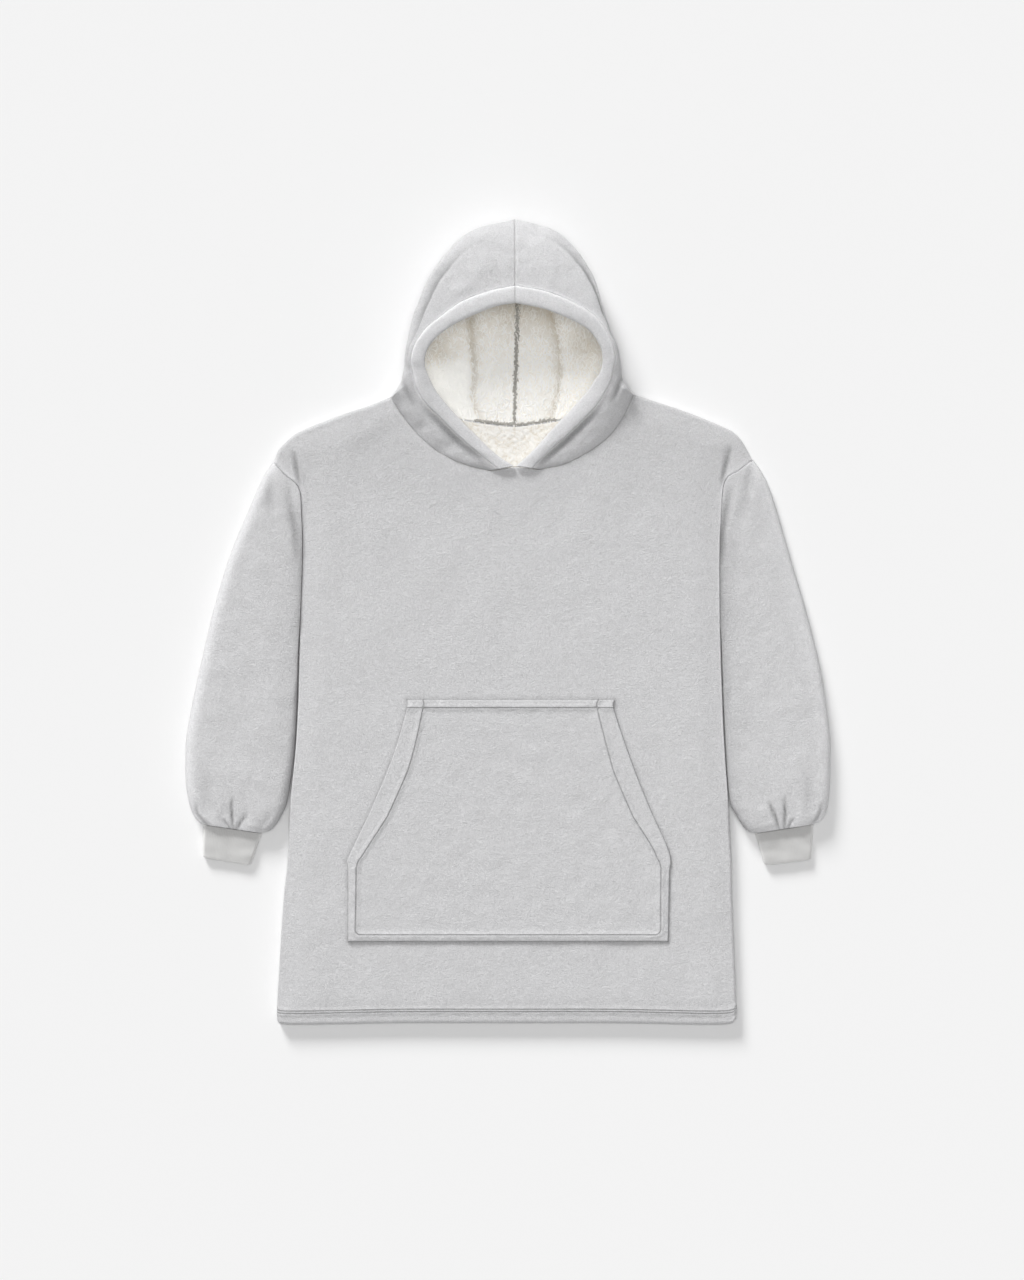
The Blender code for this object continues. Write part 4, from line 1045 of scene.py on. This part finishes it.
def over_hood(rows, side, columns_at, broad):
    """A quarter ellipse from the rim's outer edge to the bound, less than a quarter by the neck.

    Half of the columns lie on the dome and half behind its fold. The dome ends in a low lip. Behind
    it the cloth drops steeply and comes back slowly. The broad fold is a bell round the same trough.
    """
    table = columns(HOOD_FOLD, "row", "left" if side < 0 else "right", "depth")
    fold, depth = (np.interp(rows["station"], table[:, 0], table[:, part])[:, None] for part in (1, 2))
    dome, back = np.clip(2 * columns_at, 0, 1)[None], np.clip(2 * columns_at - 1, 0, 1)[None]
    share = fold * dome + (1 - fold) * np.sin(back * math.pi / 2)
    crest = (rows["rim_z"] + CREST)[:, None]
    low = rows["bound_z"][:, None]
    blend = smooth_step((rows["station"] - NECK_ROW + 2) / 2)[:, None]
    widest = np.radians(NECK_SLOPE_ANGLE + (90 - NECK_SLOPE_ANGLE) * blend)
    turn = np.arcsin(share * np.sin(widest))
    rise = (np.cos(turn) - np.cos(widest)) / (1 - np.cos(widest))
    plan = rows["outer"][:, None] + (rows["bound"] - rows["outer"])[:, None] * share[..., None]
    behind = (share - fold) / (1 - fold)
    if broad:
        trough = bell(behind - FOLD_DROP, FOLD_BROAD_WIDTH)
        lip = 0
    else:
        back_up = smooth_step((behind - FOLD_BACK_FROM) / (1 - FOLD_BACK_FROM))
        trough = smooth_step(behind / FOLD_DROP) * (1 - back_up)
        lip = FOLD_LIP * bell(behind, FOLD_LIP_WIDTH) * (behind <= 0)
    return np.dstack([plan, low + (crest - low) * rise + FOLD_DEEPER * depth * (lip - trough)])


def under_hood(rows, first, bends, flats):
    """A quarter round from the bound down to the floor, then flat to the centre line."""
    bound, low = rows["bound"][first:], rows["bound_z"][first:, None]
    under = through(columns(HOOD_UNDER, "centre_y", "roll", "sag"), rows["station"][first:] - NECK_ROW)
    centre = np.column_stack([np.full(len(under), HOOD_CENTRE), under[:, 0]])
    length = np.linalg.norm(centre - bound, axis=1)[:, None]
    roll = under[:, 1:2]
    travel = np.concatenate([roll * (1 - np.cos(bends)), roll + (length - roll) * flats], axis=1)
    travel = travel / length
    plan = bound[:, None] + (centre - bound)[:, None] * travel[..., None]
    plan[..., 1] -= under[:, 2:3] * np.sin(np.pi * travel)
    height = np.concatenate([low * (1 - np.sin(bends)), np.zeros((len(low), len(flats)))], axis=1)
    return np.dstack([plan, height])


def grid_normals(points, quads):
    """Each point's normal, from the areas of the quads around it."""
    a, b, c, d = (points[quads[:, corner]] for corner in range(4))
    areas = np.cross(c - a, d - b)
    normals = np.zeros_like(points)
    for corner in range(4):
        np.add.at(normals, quads[:, corner], areas)
    return normals / np.linalg.norm(normals, axis=1)[:, None]


def hood_sheet(table, side, neck_count, crown_count, over, bends, flats, broad=False):
    """The hood's outer face on one side: points, outward normals and their index by section."""
    rows = hood_rows(table, neck_count, crown_count)
    first = neck_count - 1
    above, below = over_hood(rows, side, over, broad), under_hood(rows, first, bends, flats)
    folds = creases(above[..., 0], above[..., 1], HOOD_CREASES)[0]
    above[..., 2] += folds * smooth_step(np.minimum(over, 1 - over) / HOOD_CREASE_FADE)[None]
    index = np.full((above.shape[0], above.shape[1] + below.shape[1]), -1)
    index[:, : above.shape[1]] = np.arange(above.shape[0] * above.shape[1]).reshape(above.shape[:2])
    beneath = index.max() + 1 + np.arange(below.shape[0] * below.shape[1]).reshape(below.shape[:2])
    index[first:, above.shape[1]:] = beneath
    points = np.concatenate([above.reshape(-1, 3), below.reshape(-1, 3)])
    seam = np.concatenate([index[neck_count:, -1], index[-1]])
    points[seam, 0] = HOOD_CENTRE + side * HOOD_SEAM_GAP / 2
    normals = grid_normals(points, quads_of(index))
    if np.sum(normals * (points - points.mean(axis=0))) < 0:
        normals = -normals
    last = above.shape[1] - 1
    normals[beneath, 2] = np.minimum(normals[beneath, 2], -0.02)
    normals[beneath[:, len(bends):]] = (0, 0, -1)
    normals[seam, 0] = 0
    normals[index[0, : last + 1], 1] = 0
    normals[index[first, last:], 1] = 0
    normals /= np.linalg.norm(normals, axis=1)[:, None]
    normals[index[:, 0]] = (0, 0, 1)
    normals[index[:first, last]] = (0, 0, 1)
    return rows, points, normals, index


def above_floor(points):
    """The same points, none of them below the surface that the garment lies on."""
    return np.column_stack([points[:, :2], np.maximum(points[:, 2], 0.0)])


def hood_panel(name, table, side, seed, painted_light):
    """The outer face with its folds raised along the normals, and an inner face one wall behind.

    The edge along the rim is turned down in a small round.
    """
    over = np.concatenate([RIM_EDGE_COLUMNS, np.linspace(0.064, 1, 35)])
    bends = np.radians(np.linspace(9, 90, 10))
    rows, points, normals, index = hood_sheet(
        table, side, NECK_SECTIONS, CROWN_SECTIONS, over, bends, np.linspace(0.1, 1, 10)
    )
    above = index[:, : len(over)]
    x, y = points[:, 0], points[:, 1]
    relief = ripples(x, y, seed, HOOD_RIPPLES)
    relief *= smooth_step(np.abs(x - HOOD_CENTRE) / HOOD_RIPPLE_FADE)
    share = np.zeros(len(points))
    share[above] = np.sin(np.pi * over)[None] ** 0.5
    raised = points + normals * (relief * share)[:, None]
    from_rim = np.linalg.norm(points[above, :2] - rows["outer"][:, None], axis=2)
    raised[above, 2] -= RIM_EDGE_DROP * (1 - arc(from_rim, RIM_EDGE_ROLL))
    from_seam = np.maximum(side * (raised[:, 0] - HOOD_CENTRE), HOOD_SEAM_GAP / 2)
    raised[:, 0] = side * from_seam + HOOD_CENTRE
    inner = points - FLANNEL_WALL * normals
    inner[index[:, 0], 2] -= RIM_EDGE_DROP
    piece = add_wall(f"{name}_cloth", above_floor(raised), above_floor(inner), quads_of(index), flannel)
    # Painted shade on the strip behind the fold and along the creases, a little painted shade over the
    # left crown and painted light over the right, and a painted highlight along the rim band's edge.
    fold_rows = columns(HOOD_FOLD, "row", "depth")
    depth = np.interp(rows["station"], fold_rows[:, 0], fold_rows[:, 1])[:, None]
    depth = depth / fold_rows[:, 1].max()
    behind = np.sin(np.clip(2 * over - 1, 0, 1) * math.pi / 2)[None]
    strip = bell(behind, FOLD_SHADE_WIDTH) + FOLD_SHADE_BEHIND * (1 - behind)
    shade = np.zeros(len(points))
    shade[above] = FOLD_SHADE * depth * strip * (over > 0.5)[None]
    shade[above] += creases(x, y, HOOD_CREASES)[1][above]
    shade[above] -= painted_light * smooth_step((rows["station"] - NECK_ROW) / 3)[:, None]
    shade[above] -= BAND_EDGE_LIGHT * bell(from_rim, BAND_EDGE_WIDTH)
    mark(piece, "painted_light", shade)
    dress(piece, "flannel", name)


hood_panel("hood_left", HOOD_LEFT, -1, 41, -0.1)
hood_panel("hood_right", HOOD_RIGHT, 1, 51, 0.2)


# Hood lining. The hood's own two panels cut again in sherpa, pile inwards, seen through the opening.
# Its front edge is caught under the padded rim.
SHERPA_WALL = 5.5
RIM_BED = 4.2
RIM_SEAT = 0.3
LINING_FROM = 0.4
LINING_NECK_SECTIONS = 60
LINING_CREASES = named_rows(
    "path width depth ridge shade",
    ([(-56, 440), (-58, 427), (-51, 357), (-54, 316), (-40, 282)], 2.8, 3.4, -0.5),
    ([(60, 450), (64, 438), (74, 387), (75, 330), (62, 282)], 2.8, 3.2, 0.5),
)
# Spots of painted shade on the lining, under the rim and the crown and at the tops of the folds; the
# spot below zero is a painted highlight on the left wall.
PAINTED_SHADE_SPOTS = named_rows(
    "x y reach depth",
    (-98, 382, 26, 0.5), (112, 394, 28, 0.45), (-60, 425, 26, 0.25), (62, 432, 26, 0.25),
    (10, 452, 40, 0.5), (-84, 334, 44, -0.45),
)
FOLD_EDGE_SHADOW = 0.6
PILE_BED_SHADE = 0.08
FOLD_EDGE_RAGGED = 0.9
FOLD_EDGE_SHADOW_STEP = 3.0
FOLD_EDGE_SHADOW_REACH = 8.0
CREASE_SHADE = 0.08
LINING_FLOOR = 30.0
PILE_SWELLS = named_rows("height size", (0.5, 22), (0.35, 9))
PILE_SWELL_SHARE = 0.6
LOCK_SHADE = -0.2
LOCK_AREA = 22.0
LOCK_LIE = (0.0, 1.6, 0.0)
LOCK_LIFT = 0.3
LOCK_LENGTHS = (6, 13)
LOCK_BENDS = (4, 11)
LOCK_RADII = (0.5, 0.95)
LOCK_CORNERS = 4
LOCK_RINGS = 6
LOCK_ARC = np.linspace(-0.5, 0.5, LOCK_RINGS)[None]
LOCK_TAPER = np.sqrt(np.sin(np.pi * np.linspace(0.06, 0.94, LOCK_RINGS)))[None]
TAPE_GREY = (0.50, 0.485, 0.45, 1)
TAPE_SHADE_TINT = (0.30, 0.28, 0.25, 1)
CENTRE_TAPE = [(13.5, 452), (12.5, 400), (10.5, 340), (8.5, 284)]
NECK_TAPE = [(-47, 287), (-24, 284), (10, 281), (40, 284), (67, 288)]
TAPE_LIFTS = (0.3, 1.0)
TAPE_TURNS = 0.75
TAPE_LENGTHS = (3.5, 7)
TAPE_BENDS = (2, 6)
TAPE_RADII = (0.55, 0.9)


def strands(name, centres, sideways, upward, radius, material):
    """Closed round strands: rings of corners with a radius at each of their centres."""
    turn = np.linspace(0, math.tau, LOCK_CORNERS, endpoint=False)[:, None]
    across = np.cos(turn) * radius[..., None, None] * sideways[:, :, None]
    rise = np.sin(turn) * radius[..., None, None] * upward[:, :, None]
    points = centres[:, :, None] + across + rise
    index = np.arange(points[..., 0].size).reshape(points.shape[:3])
    quads = np.concatenate([quads_of(strand, wrap=True) for strand in index])
    caps = index[:, 0, ::-1].tolist() + index[:, -1].tolist()
    piece = add_mesh(name, points.reshape(-1, 3), quads, material, caps)
    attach(piece, "root")
    return piece


def pile_locks(name, points, normals, quads, depth, area, seed):
    """Curled locks on the pile, one to each area: tapered strands along short arcs, half sunk in it.

    Most of them lie down the hood. Each takes the depth mark of its place: painted shade, less a little
    as a painted highlight.
    """
    draw = np.random.default_rng(seed)
    corner = points[quads]
    cross = np.cross(corner[:, 2] - corner[:, 0], corner[:, 3] - corner[:, 1])
    sizes = np.linalg.norm(cross, axis=1) / 2
    count = int(sizes.sum() / area)
    chosen = draw.choice(len(quads), count, p=sizes / sizes.sum())
    u, v = draw.uniform(0, 1, (2, count, 1))
    low = corner[chosen, 0] * (1 - u) + corner[chosen, 1] * u
    high = corner[chosen, 3] * (1 - u) + corner[chosen, 2] * u
    spot = low * (1 - v) + high * v
    up = normals[quads[chosen, 0]]
    heading = draw.normal(0, 1, (count, 3)) + LOCK_LIE
    heading -= up * np.sum(heading * up, axis=1)[:, None]
    heading /= np.linalg.norm(heading, axis=1)[:, None]
    beside = np.cross(up, heading)
    length = draw.uniform(*LOCK_LENGTHS, (count, 1))
    bend = draw.uniform(*LOCK_BENDS, (count, 1))
    angle = LOCK_ARC * length / bend
    bend, angle = bend[..., None], angle[..., None]
    heading, beside = heading[:, None], beside[:, None]
    arcs = bend * (np.sin(angle) * heading + (1 - np.cos(angle)) * beside)
    centres = spot[:, None] + arcs + LOCK_LIFT * up[:, None]
    sideways = np.cos(angle) * beside - np.sin(angle) * heading
    radius = draw.uniform(*LOCK_RADII, (count, 1)) * LOCK_TAPER
    upward = np.broadcast_to(up[:, None], centres.shape)
    locks = strands(name, centres, sideways, upward, radius, sherpa)
    # Each lock takes the painted shade of its place, less by its own painted highlight.
    mark(locks, "depth", np.repeat(depth[quads[chosen, 0]] + LOCK_SHADE, LOCK_RINGS * LOCK_CORNERS))


def fold_shadow_share(x, y, path):
    """Painted shadow that the pile leaning over a fold casts: 1 at its edge, less to the seam."""
    line = curve(path, 60)[::-1]
    edge = np.interp(y, line[:, 1], line[:, 0])
    past = np.sign(edge - HOOD_CENTRE) * (edge - x) + FOLD_EDGE_RAGGED * ripple(x, y, 14, 15)
    return smooth_step(past / FOLD_EDGE_SHADOW_STEP) * np.exp(-np.maximum(past, 0) / FOLD_EDGE_SHADOW_REACH)


def hood_lining(name, table, side, seed):
    """The hood's sections moved in by the outer wall, with creases and a low swell on the pile face.

    Returns the points of the pile face.
    """
    over = np.concatenate([[0], np.linspace(LINING_FROM, 1, 16)])
    bends = np.radians(np.linspace(5, 90, 18))
    flats = np.linspace(0.03, 1, 44)
    rows, points, normals, index = hood_sheet(
        table, side, LINING_NECK_SECTIONS, CROWN_SECTIONS, over, bends, flats, broad=True
    )
    bed = rows["rim_z"] - RIM_BED
    seat = index[:, 0]
    points[seat, :2] = rows["inner"] + RIM_SEAT * (rows["outer"] - rows["inner"])
    points[seat[-1], 0] = points[index[-1, 1], 0]
    points[seat, 2] = bed
    points[index[:, 1], 2] = np.minimum(points[index[:, 1], 2], bed)
    near = FLANNEL_WALL + SEAM_GAP
    outer = above_floor(points - near * normals)
    x, y, z = outer.T
    swell = ripples(x + z, y, seed, PILE_SWELLS)
    folds = creases(x, y, LINING_CREASES)[0] * (z < LINING_FLOOR)
    inner = points - (near + SHERPA_WALL + PILE_SWELL_SHARE * swell + folds)[:, None] * normals
    inner = above_floor(inner)
    quads = quads_of(index)
    piece = add_wall(f"{name}_cloth", outer, inner, quads, sherpa)
    # The depth mark is painted shade: spots under the rim and crown, a painted shadow beside each fold,
    # shade in the creases and a little over all of the pile.
    spot_shade = np.zeros(len(x))
    for spot in PAINTED_SHADE_SPOTS:
        square = (x - spot["x"]) ** 2 + (y - spot["y"]) ** 2
        spot_shade += spot["depth"] * np.exp(-square / spot["reach"] ** 2)
    fold_shadow_mask = fold_shadow_share(x, y, LINING_CREASES[0 if side < 0 else 1]["path"]) * (z < LINING_FLOOR)
    depth = spot_shade + FOLD_EDGE_SHADOW * fold_shadow_mask - CREASE_SHADE * np.minimum(folds, 0)
    mark(piece, "depth", np.concatenate([depth, depth]) + PILE_BED_SHADE)
    dress(piece, "sherpa", name)
    seen = quads[(quads >= index[:, : len(over)].max()).all(axis=1)]
    pile_locks(f"{name}_curls", inner, -normals, seen, depth, LOCK_AREA, seed + 5)
    return inner


pile_left = hood_lining("hood_lining_left", HOOD_LEFT, -1, 61)
pile_right = hood_lining("hood_lining_right", HOOD_RIGHT, 1, 71)


def tape(name, path, half_width, spacing, seed):
    """The fuzzy binding over a seam of the lining: short strands strewn along a path on the pile."""
    draw = np.random.default_rng(seed)
    pile = np.concatenate([pile_left, pile_right])
    pile = pile[pile[:, 2] < LINING_FLOOR]
    count = round(run_lengths(np.array(path, float))[-1] / spacing)
    line = curve(path, count)
    run = np.gradient(line, axis=0)
    run /= np.linalg.norm(run, axis=1)[:, None]
    beside = np.column_stack([-run[:, 1], run[:, 0]])
    narrower = np.linspace(1.0, 0.5, count)[:, None]
    line = line + beside * draw.normal(0, half_width, (count, 1)) * narrower
    gap = np.sum((line[:, None] - pile[None, :, :2]) ** 2, axis=2)
    spot = np.column_stack([line, pile[np.argmin(gap, axis=1), 2] + draw.uniform(*TAPE_LIFTS, count)])
    turn = np.arctan2(run[:, 1], run[:, 0])[:, None] + draw.normal(0, TAPE_TURNS, (count, 1))
    bend = draw.uniform(*TAPE_BENDS, (count, 1)) * draw.choice([-1, 1], (count, 1))
    angle = LOCK_ARC * draw.uniform(*TAPE_LENGTHS, (count, 1)) / bend
    heading = np.dstack([np.cos(turn + angle), np.sin(turn + angle), 0 * angle])
    sideways = np.dstack([-np.sin(turn + angle), np.cos(turn + angle), 0 * angle])
    steps = heading * (np.abs(bend[..., None]) * np.abs(np.diff(angle, axis=1)[:, :1, None]))
    centres = spot[:, None] + np.cumsum(steps, axis=1) - steps[:, :3].sum(axis=1, keepdims=True)
    radius = draw.uniform(*TAPE_RADII, (count, 1)) * LOCK_TAPER
    upward = np.broadcast_to(np.array([0.0, 0.0, 1.0]), centres.shape)
    strands(name, centres, sideways, upward, radius, tape_cloth)


tape_cloth = sherpa_material("grey_binding", TAPE_GREY, TAPE_SHADE_TINT, 0.32, 0.0)
tape("lining_centre_binding", CENTRE_TAPE, 1.5, 0.62, 66)
tape("lining_neck_binding", NECK_TAPE, 0.9, 0.8, 67)


# Hood rim. A casing of doubled flannel round the face opening, soft and rounded, sewn on along its
# outer edge. Its two halves meet in a seam at the top, and their ends cross at the front of the neck.
RIM_HALF_HEIGHT = 6.0
RIM_HALF_SHARE = 0.493
RIM_OUTER_LIFT = 0.6
RIM_PAINTED_LIGHT = -0.7
RIM_END = 45.0
RIM_END_HEIGHT = 0.55
RIM_SQUARE = 0.45
RIM_CORNERS = 36
RIM_NECK_SECTIONS = 120
RIM_UNEVEN = 0.05
RIM_UNEVEN_SIZE = 36
RIM_UNEVEN_ROUND = 30


def hood_rim(name, table, side, seed):
    """An oval carried between the rim's inner and outer edges, uneven by a few tenths."""
    rows = hood_rows(table, RIM_NECK_SECTIONS, CROWN_SECTIONS)
    turn = np.linspace(0, math.tau, RIM_CORNERS, endpoint=False)
    share = (0.5 - RIM_HALF_SHARE * np.cos(turn))[None, :, None]
    plan = rows["inner"][:, None] + (rows["outer"] - rows["inner"])[:, None] * share
    travel = run_lengths(rows["outer"])[:, None]
    along, around = np.broadcast_arrays(travel, RIM_UNEVEN_ROUND * np.sin(turn))
    swell = 1 + RIM_UNEVEN * ripple(along, around, RIM_UNEVEN_SIZE, seed)
    round_top = np.sign(np.sin(turn)) * np.abs(np.sin(turn)) ** RIM_SQUARE
    fuller = RIM_END_HEIGHT + (1 - RIM_END_HEIGHT) * smooth_step(travel / RIM_END)
    half = RIM_HALF_HEIGHT * fuller * swell
    height = rows["rim_z"][:, None] + RIM_OUTER_LIFT * share[..., 0] + half * round_top[None]
    points = np.dstack([plan, height])
    points[-1, :, 0] = HOOD_CENTRE + side * HOOD_SEAM_GAP / 2
    index = np.arange(points.shape[0] * RIM_CORNERS).reshape(-1, RIM_CORNERS)
    caps = [index[0, ::-1].tolist(), index[-1].tolist()]
    quads = quads_of(index, wrap=True)
    piece = add_mesh(f"{name}_cloth", points.reshape(-1, 3), quads, flannel, caps)
    # Painted light on the band: lighter all over, with a painted highlight along its outer edge.
    width = np.linalg.norm(rows["outer"] - rows["inner"], axis=1)[:, None]
    edge_light = BAND_EDGE_LIGHT * bell(width * (1 - share[..., 0]), BAND_EDGE_WIDTH)
    mark(piece, "painted_light", (RIM_PAINTED_LIGHT - edge_light).ravel())
    dress(piece, "flannel", name)


hood_rim("hood_rim_left", HOOD_LEFT, -1, 81)
hood_rim("hood_rim_right", HOOD_RIGHT, 1, 91)


# The place it lies on. A plain pale sheet under even daylight, with the lamp high on the left.
FLOOR_WHITE = (0.90, 0.90, 0.90, 1)
CAMERA_PLACE = (0.0057, -0.0249, 8.0)
CAMERA_LENS = 158.5
SENSOR = 36.0
LAMP_TILT = 64.0
LAMP_TURN = 115.0
LAMP_SPREAD = 20.0
LAMP_POWER = 2.6
CEILING_SPREAD = 30.0
CEILING_POWER = 1.08
SKY = 0.295
FLOOR_HALF = 6.0


def floor_sheet(half):
    """A wide flat square at the height that the garment lies on."""
    corners = [(-half, -half, 0), (half, -half, 0), (half, half, 0), (-half, half, 0)]
    mesh = bpy.data.meshes.new("floor_sheet")
    mesh.from_pydata(corners, [], [(0, 1, 2, 3)])
    material, _, _, shader = nodes_of("pale_floor")
    set_node(shader, Base_Color=FLOOR_WHITE, Roughness=0.9, Specular_IOR_Level=0.0)
    mesh.materials.append(material)
    place_object("floor_sheet", mesh)


def add_lamp(name, power, spread, tilt, turn):
    """A far lamp that shines down, tilted and turned by degrees, with the spread of its light."""
    lamp = bpy.data.lights.new(name, "SUN")
    lamp.energy = power
    lamp.angle = math.radians(spread)
    place_object(name, lamp).rotation_euler = (0, math.radians(tilt), math.radians(turn))


floor_sheet(FLOOR_HALF)
add_lamp("window_light", LAMP_POWER, LAMP_SPREAD, LAMP_TILT, LAMP_TURN)
add_lamp("ceiling_light", CEILING_POWER, CEILING_SPREAD, 0, 0)

world = bpy.data.worlds.new("soft_room")
world.use_nodes = True
set_node(world.node_tree.nodes["Background"], Color=(1, 1, 1, 1), Strength=SKY)
bpy.context.scene.world = world
bpy.context.scene.view_settings.view_transform = "Standard"

camera = bpy.data.cameras.new("straight_above")
camera.sensor_fit = "VERTICAL"
camera.sensor_height = SENSOR
camera.lens = CAMERA_LENS
camera.clip_end = 50
camera_object = place_object("straight_above", camera)
camera_object.location = CAMERA_PLACE
bpy.context.scene.camera = camera_object
